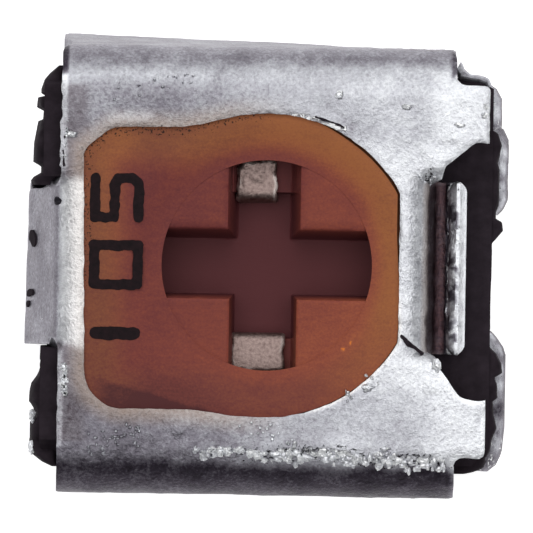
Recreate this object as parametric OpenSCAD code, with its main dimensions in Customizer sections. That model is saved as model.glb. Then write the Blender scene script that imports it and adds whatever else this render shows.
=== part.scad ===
// Single-turn surface-mount trimmer potentiometer.
// A folded tinned-sheet cover clamps an amber housing and a black moulded base together.
// The rotor turns about Z. Z = 0 is the board that the three solder feet stand on.

/* [Clearances] */
// Clear height under the moulded base
standoff = 0.12; // [0.08:0.01:0.15]
// Seating clearance between pieces that fit together
seat_gap = 0.03; // [0.02:0.005:0.04]
// Room between the base and the cover's folded sides
side_gap = 0.13; // [0.05:0.01:0.15]
// Running clearance of the rotor, on the radius and under its shoulder
run_gap = 0.02; // [0.015:0.005:0.03]
// Gap between a contact tip and what it slides on
contact_gap = 0.01; // [0.005:0.005:0.015]

/* [Rotor] */
// Diameter of the slotted disc
rotor_d = 1.96; // [1.6:0.02:2.4]
// How far the rotor's face lies below the boss
rotor_sink = 0.05; // [0.02:0.01:0.08]
// Width of the cross slot
slot_w = 0.6; // [0.5:0.01:0.7]
// Depth of the cross slot
slot_depth = 0.5; // [0.4:0.01:0.6]
// Floor between the cross slot and the seal's neck
slot_web = 0.08; // [0.05:0.01:0.12]
// Depth of the two ledges at the ends of one slot
ledge_depth = 0.34; // [0.26:0.01:0.38]
// How far the flange reaches under the housing's shoulder
flange_lip = 0.06; // [0.04:0.01:0.1]
// Thickness of the flange
flange_t = 0.16; // [0.12:0.01:0.2]
// Section diameter of the seal ring
seal_d = 0.13; // [0.1:0.01:0.15]
// Height of the stops on the flange's rim
stop_h = 0.1; // [0.06:0.01:0.14]
// Angle of the stop lug on the flange
lug_angle = 28; // [24:1:32]

/* [Housing] */
// Wall of the housing beside the rotor's chamber
housing_wall = 0.1; // [0.08:0.01:0.14]
// Width of the amber rim between the rotor's bore and the window
rim_w = 0.41; // [0.3:0.01:0.5]
// Length of the land that carries the value marking, from the bore to the window's left edge
marking_l = 0.68; // [0.5:0.01:0.9]
// Gap between the boss and the edge of the window
boss_gap = 0.03; // [0.02:0.005:0.04]
// How far the boss stands below the cover's top
boss_sink = 0.06; // [0.03:0.01:0.1]
// How far the housing's body reaches past the window's round part
body_step = 0.05; // [0.02:0.01:0.1]
// Corner radius of the housing's body
housing_corner_r = 0.3; // [0.2:0.02:0.4]
// Angle of the stop block in the chamber
stop_angle = 90; // [80:1:95]

/* [Cover] */
// Thickness of the tinned sheet
sheet_t = 0.18; // [0.14:0.01:0.22]
// Inside radius of the two side folds
fold_r = 0.32; // [0.24:0.01:0.38]
// Width of the sheet left of the window
frame_w = 0.245; // [0.2:0.005:0.3]
// Length of the flat ears past the side folds
ear_l = 0.31; // [0.2:0.01:0.4]
// How far the ears stay inside the base's right face
ear_in = 0.04; // [0.02:0.01:0.08]
// Half-width of the window's left part, less than the round part's radius by
window_step = 0.1; // [0.05:0.01:0.2]
// Corner radius of the window's left part
window_corner_r = 0.38; // [0.2:0.02:0.5]
// Width of the crimp tab under each folded side
crimp_w = 1.2; // [0.8:0.05:1.6]
// Straight drop of the crimp tab below the folded side's edge
crimp_drop = 0.066; // [0.04:0.002:0.2]
// Length of the crimp tab's flat under the base
crimp_l = 0.26; // [0.2:0.01:0.36]

/* [Wiper leg of the cover] */
// Width of the leg
leg_w = 1.53; // [1.2:0.01:1.8]
// Flat strip between the window and the leg's fold
leg_land = 0.06; // [0.04:0.01:0.08]
// Outward reach of the leg's sloping shoulder
leg_out = 0.24; // [0.18:0.01:0.3]
// Angle of the leg's shoulder below the horizontal
leg_slope = 68; // [60:1:78]
// Length of the solder feet
foot_l = 0.6; // [0.45:0.01:0.75]

/* [Curled lip of the cover] */
// Width of the lip
lip_w = 1.62; // [1.3:0.01:1.9]
// Flat strip between the window and the lip's fold
lip_land = 0.05; // [0.03:0.01:0.08]
// Angle of the lip below the horizontal
lip_slope = 75; // [65:1:85]
// Straight drop between the lip's fold and its curl
lip_drop = 0.2; // [0.15:0.01:0.25]
// Inside radius of the curl
lip_curl_r = 0.055; // [0.04:0.005:0.07]
// Upright edge after the curl
lip_rise = 0.12; // [0.08:0.01:0.16]
// Radius of the round reliefs beside the lip
relief_r = 0.36; // [0.3:0.01:0.42]
// How far the reliefs' centres stay inside the ears' edge
relief_in = 0.08; // [0.04:0.01:0.12]

/* [Base and end terminals] */
// Side wall of the base beside the housing
base_wall = 0.35; // [0.3:0.01:0.45]
// Left face of the base, in from the leg's outer face
base_in_left = 0.05; // [0.03:0.01:0.08]
// How far the base's left face is stepped back beside the leg
post_step = 0.06; // [0.03:0.01:0.1]
// Width of each stepped-back strip beside the leg
post_gap = 0.29; // [0.2:0.01:0.4]
// Chamfer on the base's upright corners
base_chamfer = 0.16; // [0.1:0.01:0.2]
// Floor of the base under the substrate
floor_t = 0.33; // [0.28:0.01:0.4]
// Thickness of the terminal strip
terminal_t = 0.16; // [0.12:0.01:0.2]
// Width of each end terminal
terminal_w = 1.1; // [0.9:0.02:1.3]
// How far each end terminal stays inside the base's side
terminal_in = 0.12; // [0.1:0.01:0.2]
// Inside radius of the terminal folds
terminal_fold_r = 0.08; // [0.06:0.01:0.1]
// Length of the terminal's flat on the substrate
terminal_lap = 0.3; // [0.24:0.01:0.36]

/* [Substrate and films] */
// Thickness of the ceramic substrate
substrate_t = 0.5; // [0.4:0.02:0.6]
// Wall of the base past the substrate's ends
substrate_end = 0.34; // [0.28:0.01:0.4]
// Wall of the base past the substrate's sides
substrate_side = 0.24; // [0.2:0.01:0.32]
// Thickness of the printed films
film_t = 0.02; // [0.015:0.005:0.03]
// Width of the resistance track
track_w = 0.3; // [0.24:0.01:0.36]
// How far the track stays inside the wiper spring's rim
track_in = 0.08; // [0.06:0.01:0.1]
// Half of the angle left open between the track's ends
track_gap = 55; // [46:1:64]

/* [Collector] */
// Radius of the collector rivet's head
rivet_head_r = 0.35; // [0.28:0.01:0.42]
// Radius of the rivet's shank
rivet_r = 0.14; // [0.1:0.01:0.17]
// Thickness of the rivet's head
rivet_head_t = 0.05; // [0.04:0.005:0.06]
// Width of the collector strap
strap_w = 0.6; // [0.5:0.02:0.7]
// Thickness of the collector strap
strap_t = 0.12; // [0.1:0.01:0.14]

/* [Wiper spring] */
// Thickness of the spring sheet
spring_t = 0.08; // [0.06:0.01:0.09]
// Height of the space that the spring works in
spring_h = 0.23; // [0.19:0.01:0.28]
// How far the spring's plate stays inside the rotor's flange
spring_in = 0.06; // [0.04:0.01:0.08]
// Width of each contact finger
finger_w = 0.08; // [0.06:0.01:0.09]
// Distance between neighbouring fingers
finger_pitch = 0.1; // [0.095:0.005:0.12]
// Gap between a clench tab and the slot's walls
tab_side = 0.05; // [0.03:0.01:0.08]
// Distance from the rotor's rim to the upright of a clench tab
tab_in = 0.36; // [0.28:0.01:0.42]

/* [Hidden] */
$fn = 96;
// Angle between neighbouring points on a fold
fold_step = 9;
// Length that a cutting shape runs past what it cuts
past = 0.5;

// Heights, from the board up: the overall height is what the stack adds up to
substrate_z = standoff + floor_t;
film_z = substrate_z + substrate_t;
film_top = film_z + film_t;
rotor_z = film_top + spring_h;
flange_top = rotor_z + flange_t;
shoulder_z = flange_top + run_gap;
seal_room = seal_d + run_gap;
neck_top = flange_top + seal_room;
slot_floor = neck_top + slot_web;
rotor_top = slot_floor + slot_depth;
ledge_z = rotor_top - ledge_depth;
boss_top = rotor_top + rotor_sink;
overall_h = boss_top + boss_sink;
plate_z = overall_h - sheet_t;
plate_mid_z = overall_h - sheet_t / 2;
fold_z = plate_z - fold_r;
base_top = plate_z - seat_gap;

// Radii, from the rotor's axis out
rotor_r = rotor_d / 2;
bore_r = rotor_r + run_gap;
neck_r = bore_r - seal_room;
flange_r = bore_r + flange_lip;
block_r = flange_r + run_gap;
chamber_r = block_r + stop_h;
lug_r = chamber_r - run_gap;
window_r = bore_r + rim_w;

// Lengths to the right of the axis: chamber, housing and lip
housing_right = chamber_r + housing_wall;
lip_from = housing_right;
window_flat = lip_from - lip_land;
lip_fold = 0.8 * sheet_t;
lip_curl = lip_curl_r + sheet_t / 2;
lip_low = plate_mid_z - lip_fold * (1 - cos(lip_slope)) - lip_drop * sin(lip_slope)
    - lip_curl * (1 - cos(lip_slope)) - sheet_t / 2;

// Lengths to the left of the axis: marking, window and leg, which set the overall length
window_reach = bore_r + marking_l;
housing_left = window_reach - boss_gap;
plate_left = window_reach + frame_w;
leg_from = window_reach + leg_land;
leg_fold = sheet_t;
leg_x = leg_from + leg_fold + leg_out;
leg_run = leg_out / cos(leg_slope);
leg_knee_z = plate_mid_z - leg_fold - leg_run * sin(leg_slope);
foot_fold = sheet_t;
half_l = leg_x + sheet_t / 2;

// Right end: terminals, base and the cover's ears
base_left = half_l - base_in_left;
base_right = half_l - terminal_t;
plate_right = base_right - ear_in;
fold_end = plate_right - ear_l;
relief_at = [plate_right - relief_in, lip_w / 2 + seat_gap / 2];
deck_z = lip_low - seat_gap;

// Widths: housing, base and the cover's folded sides
housing_half = window_r + body_step;
pocket_half = housing_half + seat_gap;
base_half = pocket_half + base_wall;
side_mid = base_half + side_gap + sheet_t / 2;
cover_half = base_half + side_gap + sheet_t;
flat_half = cover_half - sheet_t - fold_r;
crimp_fold = 0.8 * sheet_t;
crimp_mid_z = standoff + sheet_t / 2;
side_edge_z = crimp_mid_z + crimp_fold + crimp_drop;
side_fold = fold_r + sheet_t / 2;
side_drop = fold_z - side_edge_z;

// The far side is set in to the base at its fold, and leans out to the full width at its crimp tab
far_in = side_gap - seat_gap;
far_from = flat_half - far_in;
fold_out = side_fold + sheet_t / 2;
crimp_out = crimp_fold + sheet_t / 2;
lean_over = [cover_half - crimp_out - far_from, side_drop + crimp_drop];
far_lean = acos((fold_out - crimp_out) / norm(lean_over)) - atan2(lean_over[1], lean_over[0]);
far_run = (lean_over[1] + (side_fold - crimp_fold) * sin(far_lean)) / cos(far_lean);
far_mid = far_from + side_fold * cos(far_lean) + far_run * sin(far_lean);

// Substrate, films and terminals
substrate_half_l = base_right - substrate_end;
substrate_half_w = base_half - substrate_side;
terminal_y = base_half - terminal_in - terminal_w / 2;
terminal_fold = terminal_fold_r + terminal_t / 2;
terminal_mid_z = film_top + terminal_t / 2;
terminal_x = half_l - terminal_t / 2;
terminal_from = substrate_half_l - terminal_lap;

// Wiper spring
spring_r = flange_r - spring_in;
track_r = spring_r - track_in - track_w / 2;
tab_w = slot_w - 2 * tab_side;
tab_at = rotor_r - tab_in;
ledge_from = tab_at + spring_t / 2 + run_gap;
spring_mid_z = rotor_z - spring_t / 2;
spring_fold = 0.1;
tip_fold = 0.06;
finger_dip = 25;
finger_count = 3;

// Stations along a folded strip: straight run, then a turn in degrees at a centreline radius
function fold_stations(folds, p = [0, 0], a = 0, i = 0) =
    i == len(folds) ? [[p, a]] :
    let (
        run = folds[i][0],
        turn = folds[i][1],
        r = folds[i][2],
        side = turn < 0 ? -1 : 1,
        q = p + run * [cos(a), sin(a)],
        c = q + side * r * [-sin(a), cos(a)],
        steps = ceil(abs(turn) / fold_step),
        arc = [for (k = [0 : 1 : steps - 1]) let (b = a + turn * k / steps)
            [c + side * r * [sin(b), -cos(b)], b]],
        end = a + turn
    )
    concat([[p, a]], arc,
        fold_stations(folds, c + side * r * [sin(end), -cos(end)], end, i + 1));

// One face of a folded strip: the stations moved sideways
function fold_face(stations, d) =
    [for (s = stations) s[0] + d * [-sin(s[1]), cos(s[1])]];

function reversed(list) = [for (k = [len(list) - 1 : -1 : 0]) list[k]];

function strip_outline(folds, t) =
    let (stations = fold_stations(folds))
    concat(fold_face(stations, t / 2), reversed(fold_face(stations, -t / 2)));

// Bends of the cover's wiper leg, from the plate down to the foot
leg_folds = [
    [0, -leg_slope, leg_fold],
    [leg_run, leg_slope - 90, leg_fold],
    [leg_knee_z - foot_fold - sheet_t / 2, -90, foot_fold],
    [foot_l - foot_fold - sheet_t / 2, 0, 0],
];

// Bends of the curled lip, from the plate down and up again
lip_folds = [
    [0, -lip_slope, lip_fold],
    [lip_drop, lip_slope + 90, lip_curl],
    [lip_rise, 0, 0],
];

// Bends of the cover's channel across Y, from the near crimp tab up, over and down to the far one
channel_folds = [
    [crimp_l, -90, crimp_fold],
    [crimp_drop + side_drop, -90, side_fold],
    [flat_half + far_from, far_lean - 90, side_fold],
    [far_run, -90 - far_lean, crimp_fold],
    [crimp_l, 0, 0],
];

// Bends of an end terminal, from the substrate out and down to the foot
terminal_folds = [
    [terminal_x - terminal_fold - terminal_from, -90, terminal_fold],
    [terminal_mid_z - terminal_t / 2 - 2 * terminal_fold, -90, terminal_fold],
    [foot_l - terminal_fold - terminal_t / 2, 0, 0],
];

// Straight length of a dipped spring finger that comes down by drop
function finger_run(drop) =
    (drop - (spring_fold + tip_fold) * (1 - cos(finger_dip))) / sin(finger_dip);

// Level distance from the root of a dipped finger to its contact point
function finger_reach(drop) =
    (spring_fold + tip_fold) * sin(finger_dip) + finger_run(drop) * cos(finger_dip);

function finger_folds(drop) = [
    [0, -finger_dip, spring_fold],
    [finger_run(drop), 2 * finger_dip, tip_fold],
];

// Folded strip in the XZ plane, centred on Y, heading along +X from the origin
module folded_strip(folds, t, w) {
    rotate([90, 0, 0])
        linear_extrude(w, center = true)
            polygon(strip_outline(folds, t));
}

// Box given by its lower and upper corners
module block(low, high) {
    translate(low) cube(high - low);
}

module both_sides() {
    for (side = [0, 1]) mirror([0, side, 0]) children();
}

module rounded_rectangle(x0, x1, half_w, r) {
    translate([x0 + r, -half_w]) square([x1 - x0 - 2 * r, 2 * half_w]);
    translate([x0, -half_w + r]) square([x1 - x0, 2 * half_w - 2 * r]);
    for (x = [x0 + r, x1 - r], y = [-half_w + r, half_w - r])
        translate([x, y]) circle(r);
}

// Outline of the window, drawn in by a gap for the boss that fills it
module window_outline(gap = 0) {
    intersection() {
        union() {
            circle(window_r - gap);
            rounded_rectangle(-window_reach + gap, 0, window_r - window_step - gap, window_corner_r - gap);
        }
        translate([-2 * window_r, -2 * window_r])
            square([2 * window_r + window_flat - gap, 4 * window_r]);
    }
}

// Ring sector in plan, from one angle to another
module ring_sector(r_in, r_out, from, to, h) {
    rotate([0, 0, from])
        rotate_extrude(angle = to - from)
            translate([r_in, 0]) square([r_out - r_in, h]);
}

module leg_strip() {
    translate([-leg_from, 0, plate_mid_z])
        mirror([1, 0, 0]) folded_strip(leg_folds, sheet_t, leg_w);
}

module terminal_strip() {
    translate([terminal_from, 0, terminal_mid_z])
        folded_strip(terminal_folds, terminal_t, terminal_w);
}

// Top plate and its two folded sides, as one channel along X with a crimp tab under each side
module cover_channel() {
    difference() {
        translate([(fold_end - plate_left) / 2, crimp_fold + crimp_l - side_mid, crimp_mid_z])
            rotate([180, 0, -90])
                folded_strip(channel_folds, sheet_t, fold_end + plate_left);
        block([-2 * half_l, -2 * cover_half, 0], [-crimp_w / 2, 2 * cover_half, side_edge_z]);
        block([crimp_w / 2, -2 * cover_half, 0], [2 * half_l, 2 * cover_half, side_edge_z]);
    }
}

module cover() {
    color("silver") {
        difference() {
            union() {
                cover_channel();
                block([fold_end - past / 2, -flat_half, plate_z], [plate_right, flat_half, overall_h]);
            }
            translate([0, 0, plate_z - past]) linear_extrude(2 * past) window_outline();
            block([-plate_left - past, -leg_w / 2 - seat_gap, plate_z - past],
                [-leg_from, leg_w / 2 + seat_gap, overall_h + past]);
            block([lip_from, -lip_w / 2 - seat_gap, plate_z - past],
                [plate_right + past, lip_w / 2 + seat_gap, overall_h + past]);
            both_sides()
                translate([relief_at[0], relief_at[1], plate_z - past])
                    cylinder(2 * past, relief_r, relief_r);
        }
        leg_strip();
        translate([lip_from, 0, plate_mid_z]) folded_strip(lip_folds, sheet_t, lip_w);
    }
}

// Space outside the inner face of the wiper leg, which the base leaves free
module leg_room() {
    inner = fold_face(fold_stations(leg_folds), -sheet_t / 2 - seat_gap);
    tip = inner[len(inner) - 1] - [seat_gap, 0];
    outside = 2 * half_l;
    translate([-leg_from, 0, plate_mid_z]) mirror([1, 0, 0]) rotate([90, 0, 0])
        linear_extrude(leg_w + 2 * seat_gap, center = true)
            polygon(concat([[inner[0][0], past]], inner,
                [tip, [tip[0], -overall_h], [outside, -overall_h], [outside, past]]));
}

module base_block() {
    intersection() {
        rotate([90, 0, 90]) translate([0, 0, -base_left])
            linear_extrude(base_left + base_right)
                polygon([
                    [-base_half, standoff], [base_half, standoff],
                    [base_half, fold_z], [flat_half, base_top],
                    [-flat_half, base_top], [-base_half, fold_z],
                ]);
        linear_extrude(overall_h)
            polygon([
                [-base_left, base_chamfer - base_half], [base_chamfer - base_left, -base_half],
                [base_right - base_chamfer, -base_half], [base_right, base_chamfer - base_half],
                [base_right, base_half - base_chamfer], [base_right - base_chamfer, base_half],
                [base_chamfer - base_left, base_half], [-base_left, base_half - base_chamfer],
            ]);
    }
}

// Room under the base for a crimp tab that bends in at y
module crimp_room(y) {
    block([-crimp_w / 2 - seat_gap, y - crimp_fold - crimp_l - seat_gap, standoff - past],
        [crimp_w / 2 + seat_gap, 2 * base_half, crimp_mid_z + crimp_fold + seat_gap]);
}

module base() {
    foot_top = terminal_t / 2 + terminal_fold + seat_gap;
    foot_half = terminal_w / 2 + seat_gap;
    color("#1e1c1f") difference() {
        base_block();
        block([housing_right + seat_gap, -2 * base_half, deck_z], [2 * half_l, 2 * base_half, overall_h]);
        translate([0, 0, film_z]) linear_extrude(overall_h)
            rounded_rectangle(-housing_left - seat_gap, housing_right + seat_gap, pocket_half,
                housing_corner_r + seat_gap);
        substrate_block();
        both_sides() translate([0, terminal_y, 0]) {
            terminal_strip();
            block([half_l - foot_l - seat_gap, -foot_half, standoff - past],
                [2 * half_l, foot_half, foot_top]);
        }
        end_conductor_block();
        mirror([0, 1, 0]) end_conductor_block();
        leg_room();
        block([-2 * half_l, -leg_w / 2 - post_gap, -past],
            [post_step - base_left, leg_w / 2 + post_gap, overall_h]);
        crimp_room(far_mid);
        mirror([0, 1, 0]) crimp_room(side_mid);
        strap_block();
        translate([0, 0, substrate_z - strap_t - rivet_head_t])
            cylinder(strap_t, 2 * rivet_r, 2 * rivet_r);
    }
}

module housing() {
    color("#b0602f") {
        difference() {
            union() {
                translate([0, 0, film_top]) linear_extrude(base_top - film_top)
                    rounded_rectangle(-housing_left, housing_right, housing_half, housing_corner_r);
                translate([0, 0, base_top - past]) linear_extrude(boss_top - base_top + past)
                    window_outline(boss_gap);
            }
            translate([0, 0, film_z]) cylinder(overall_h, bore_r, bore_r);
            translate([0, 0, film_z]) cylinder(shoulder_z - film_z, chamber_r, chamber_r);
        }
        translate([0, 0, film_top])
            ring_sector(block_r, chamber_r + boss_gap, 180 - stop_angle / 2, 180 + stop_angle / 2,
                shoulder_z - film_top + boss_gap);
    }
}

module substrate_block() {
    block([-substrate_half_l, -substrate_half_w, substrate_z],
        [substrate_half_l, substrate_half_w, film_z]);
}

module substrate() {
    color("ivory") difference() {
        substrate_block();
        translate([0, 0, substrate_z - past]) cylinder(substrate_t + 2 * past, rivet_r, rivet_r);
    }
}

module track_sector() {
    translate([0, 0, film_z])
        ring_sector(track_r - track_w / 2, track_r + track_w / 2, track_gap, 360 - track_gap, film_t);
}

module resistance_track() {
    color("#2b2b2d") track_sector();
}

// Printed conductor from one end of the track to its terminal
module end_conductor_block() {
    along = [cos(track_gap), sin(track_gap)];
    near = (track_r - track_w / 2) * along;
    far = (track_r + track_w / 2) * along;
    block([near[0], near[1], film_z], [substrate_half_l, far[1], film_top]);
    block([far[0], near[1], film_z],
        [substrate_half_l, terminal_y + terminal_w / 4, film_top]);
}

module end_conductor() {
    color("#8f8f88") difference() {
        end_conductor_block();
        track_sector();
        translate([0, 0, film_z - past])
            cylinder(2 * past, track_r - track_w / 2, track_r - track_w / 2);
    }
}

module end_conductor_1() {
    mirror([0, 1, 0]) end_conductor();
}

module end_conductor_3() {
    end_conductor();
}

module end_terminal(side) {
    color("silver") translate([0, side * terminal_y, 0]) terminal_strip();
}

module end_terminal_1() {
    end_terminal(-1);
}

module end_terminal_3() {
    end_terminal(1);
}

module strap_block() {
    block([sheet_t / 2 - leg_x, -strap_w / 2, substrate_z - strap_t],
        [strap_w / 2, strap_w / 2, substrate_z]);
}

module collector_strap() {
    color("#c9a95c") difference() {
        strap_block();
        translate([0, 0, substrate_z - strap_t - past]) cylinder(strap_t + 2 * past, rivet_r, rivet_r);
    }
}

module collector_rivet() {
    color("#c9a95c") {
        translate([0, 0, film_z]) cylinder(rivet_head_t, rivet_head_r, rivet_head_r);
        translate([0, 0, substrate_z - strap_t])
            cylinder(strap_t + substrate_t + rivet_head_t / 2, rivet_r, rivet_r);
        translate([0, 0, substrate_z - strap_t - rivet_head_t])
            cylinder(rivet_head_t, 2 * rivet_r, 2 * rivet_r);
    }
}

// Cross slot, with a ledge left standing at both ends of the arm along Y
module cross_slot() {
    reach = rotor_r + past;
    block([-reach, -slot_w / 2, slot_floor], [reach, slot_w / 2, overall_h]);
    block([-slot_w / 2, -ledge_from, slot_floor], [slot_w / 2, ledge_from, overall_h]);
    block([-slot_w / 2, -reach, ledge_z], [slot_w / 2, reach, overall_h]);
}

module rotor() {
    tab_near = tab_at - spring_t / 2 - run_gap;
    color("#a5552c") {
        difference() {
            rotate_extrude()
                polygon([
                    [0, rotor_z], [flange_r, rotor_z], [flange_r, flange_top], [neck_r, flange_top],
                    [neck_r, neck_top], [rotor_r, neck_top], [rotor_r, rotor_top], [0, rotor_top],
                ]);
            cross_slot();
            both_sides() block([-tab_w / 2 - run_gap, tab_near, rotor_z - past],
                [tab_w / 2 + run_gap, ledge_from, overall_h]);
        }
        translate([0, 0, rotor_z])
            ring_sector(flange_r - run_gap, lug_r, -lug_angle / 2, lug_angle / 2, flange_t);
    }
}

module rotor_seal() {
    color("#3a3a3c") translate([0, 0, (flange_top + neck_top) / 2])
        rotate_extrude() translate([(neck_r + bore_r) / 2, 0]) circle(seal_d / 2);
}

// Clench tab that comes up through the rotor and lies outwards on its ledge
module clench_tab() {
    tab_fold = 0.75 * spring_t;
    lay_z = ledge_z + spring_t / 2;
    translate([0, tab_at, spring_mid_z]) rotate([0, 0, 90]) rotate([0, -90, 0])
        folded_strip([
            [lay_z - tab_fold - spring_mid_z, -90, tab_fold],
            [rotor_r - 2 * run_gap - tab_at - tab_fold, 0, 0],
        ], spring_t, tab_w);
}

module wiper_spring() {
    track_drop = spring_mid_z - film_top - spring_t / 2 - contact_gap;
    rivet_drop = spring_mid_z - film_z - rivet_head_t - spring_t / 2 - contact_gap;
    window_end = finger_reach(track_drop);
    window_in = track_r - (finger_count + 1) * finger_pitch / 2;
    tongue_from = finger_reach(rivet_drop);
    color("#b9b4a6") {
        difference() {
            translate([0, 0, rotor_z - spring_t]) cylinder(spring_t, spring_r, spring_r);
            translate([0, 0, rotor_z - past]) cylinder(2 * past, tongue_from, tongue_from);
            block([-2 * half_l, -window_end / 2, rotor_z - past],
                [-window_in, window_end, rotor_z + past]);
        }
        for (k = [0 : finger_count - 1])
            translate([-track_r + (k - (finger_count - 1) / 2) * finger_pitch, window_end, spring_mid_z])
                rotate([0, 0, -90]) {
                    folded_strip(finger_folds(track_drop), spring_t, finger_w);
                    translate([-spring_t, -finger_w / 2, -spring_t / 2])
                        cube([spring_t, finger_w, spring_t]);
                }
        translate([tongue_from, 0, spring_mid_z]) rotate([0, 0, 180]) {
            folded_strip(finger_folds(rivet_drop), spring_t, 2 * finger_w);
            translate([-spring_t, -finger_w, -spring_t / 2]) cube([spring_t, 2 * finger_w, spring_t]);
        }
        both_sides() clench_tab();
    }
}

cover();
base();
housing();
substrate();
resistance_track();
end_conductor_1();
end_conductor_3();
end_terminal_1();
end_terminal_3();
collector_rivet();
collector_strap();
rotor();
rotor_seal();
wiper_spring();
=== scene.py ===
"""Looks of a single-turn surface-mount trimmer potentiometer, seen from straight above.

Every sheet, slab and ink mark is a square grid of cells trimmed to an outline. The outline is a
signed distance in millimetres, and formulas lift the grid to its two faces.
"""
import math

import bmesh
import bpy
import numpy as np
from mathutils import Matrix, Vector


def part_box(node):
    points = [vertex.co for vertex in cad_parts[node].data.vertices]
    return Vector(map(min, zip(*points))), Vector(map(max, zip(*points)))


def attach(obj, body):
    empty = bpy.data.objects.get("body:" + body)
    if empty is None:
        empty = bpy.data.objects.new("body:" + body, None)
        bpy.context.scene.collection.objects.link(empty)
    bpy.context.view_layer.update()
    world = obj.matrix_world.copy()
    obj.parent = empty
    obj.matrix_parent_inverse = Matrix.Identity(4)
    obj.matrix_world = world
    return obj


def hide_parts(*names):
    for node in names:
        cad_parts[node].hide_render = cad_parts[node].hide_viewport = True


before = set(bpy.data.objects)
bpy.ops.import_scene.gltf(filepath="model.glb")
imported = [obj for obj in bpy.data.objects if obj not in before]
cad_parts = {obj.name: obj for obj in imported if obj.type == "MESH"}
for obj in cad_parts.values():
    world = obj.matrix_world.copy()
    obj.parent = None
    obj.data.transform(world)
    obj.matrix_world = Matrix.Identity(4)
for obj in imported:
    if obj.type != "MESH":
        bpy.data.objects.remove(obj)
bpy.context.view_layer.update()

MM = 0.001


def box_mm(node):
    """Lowest and highest corner of a node of the frame, in mm."""
    low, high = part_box(node)
    return np.array(low) / MM, np.array(high) / MM


cover_low, cover_high = box_mm("cover")
base_high = box_mm("base")[1]
housing_low, housing_high = box_mm("housing")
rotor_low, rotor_high = box_mm("rotor")
terminal_high = box_mm("end_terminal_3")[1]

# Sizes in mm that the boxes do not give, as in the part's own dimensions
SHEET = 0.18
SEAT_GAP = 0.03
FOLD_R = 0.32
FLAT_HALF = 1.65
SIDE_WALL = 1.28
PLATE_LEFT = 1.925
PLATE_RIGHT = 2.05
FOLD_END = 1.74
LEG_FROM = 1.74
LEG_HALF = 0.765
LIP_FROM = 1.28
LIP_HALF = 0.8
RELIEF = (1.97, 0.825)
CRIMP_HALF = 0.6
WINDOW_R = 1.41
WINDOW_FLAT = 1.23
ROTOR_R = 0.98
BORE_R = 1.0
SLOT_HALF = 0.3
SLOT_DEPTH = 0.5
LEDGE_DEPTH = 0.34
LEDGE_FROM = 0.68
NECK_TOP = 1.51
SHOULDER_Z = 1.38
CHAMBER_R = 1.18
HOUSING_CORNER = 0.3
SPRING_T = 0.08
TERMINAL_T = 0.16

TOP_Z = cover_high[2]
PLATE_MID = TOP_Z - SHEET / 2
BOSS_TOP = housing_high[2]
BODY_TOP = TOP_Z - SHEET - SEAT_GAP
ROTOR_TOP = rotor_high[2]
SLOT_FLOOR = ROTOR_TOP - SLOT_DEPTH
LEDGE_Z = ROTOR_TOP - LEDGE_DEPTH


# Formulas for outlines, noise and paths


def smooth_step(low, high, value):
    """0 below low and 1 above high, with a soft S between."""
    t = np.clip((value - low) / (high - low), 0.0, 1.0)
    return t * t * (3.0 - 2.0 * t)


def mix(a, b, share):
    """Straight blend from a to b."""
    return a + (b - a) * share


def grain(x, y, size, seed):
    """Random numbers from -1 to 1 on a square lattice of that size, blended by soft S curves."""
    table = np.random.default_rng(seed).uniform(-1.0, 1.0, (64, 64))
    fx, fy = x / size, y / size
    ix, iy = np.floor(fx).astype(int), np.floor(fy).astype(int)
    wx, wy = smooth_step(0, 1, fx - ix), smooth_step(0, 1, fy - iy)
    near = mix(table[ix % 64, iy % 64], table[(ix + 1) % 64, iy % 64], wx)
    far = mix(table[ix % 64, (iy + 1) % 64], table[(ix + 1) % 64, (iy + 1) % 64], wx)
    return mix(near, far, wy)


def crumble(x, y, size, seed):
    """Sum of three grains, each half the size and half the height of the one before."""
    return sum(grain(x, y, size / 2**k, seed + k) / 2**k for k in range(3)) / 1.75


def rectangle(x, y, x0, x1, y0, y1, r=0.0):
    """Signed distance from a rectangle with rounded corners: that of its core, less r."""
    dx = np.maximum(x0 + r - x, x - x1 + r)
    dy = np.maximum(y0 + r - y, y - y1 + r)
    outside = np.hypot(np.maximum(dx, 0), np.maximum(dy, 0))
    return outside + np.minimum(np.maximum(dx, dy), 0) - r


def segment(x, y, ax, ay, bx, by):
    """Distance from a straight stroke: to the nearest point between its two ends."""
    along = ((x - ax) * (bx - ax) + (y - ay) * (by - ay)) / ((bx - ax) ** 2 + (by - ay) ** 2)
    along = np.clip(along, 0, 1)
    return np.hypot(x - ax - along * (bx - ax), y - ay - along * (by - ay))


def soft_union(a, b, r):
    """Union of two signed distances, with the inner corner between them filled to about r."""
    share = np.clip(0.5 + 0.5 * (b - a) / r, 0, 1)
    return mix(b, a, share) - r * share * (1 - share)


def fold_path(folds):
    """Centre line of a folded strip, as length, x, z and the strip's own length.

    Each fold is a straight run, then a turn in degrees at a radius. The heading is known along
    the length, and its cosine and sine are summed to x and z, a little past both of the strip's ends.
    """
    step, spare = 0.002, 0.2
    length, heading = [0.0], [0.0]
    for run, turn, radius in folds:
        length.append(length[-1] + run)
        heading.append(heading[-1])
        length.append(length[-1] + abs(math.radians(turn)) * radius)
        heading.append(heading[-1] + math.radians(turn))
    s = np.arange(-spare, length[-1] + spare, step)
    a = np.interp(s, length, heading)
    x = np.concatenate([[0], np.cumsum(np.cos(a[1:] - np.diff(a) / 2)) * step]) - spare
    z = np.concatenate([[0], np.cumsum(np.sin(a[1:] - np.diff(a) / 2)) * step])
    return s, x, z, length[-1]


def along_path(path, s):
    """x and z at length s of a path."""
    return np.interp(s, path[0], path[1]), np.interp(s, path[0], path[2])


# Meshes from arrays


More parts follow.
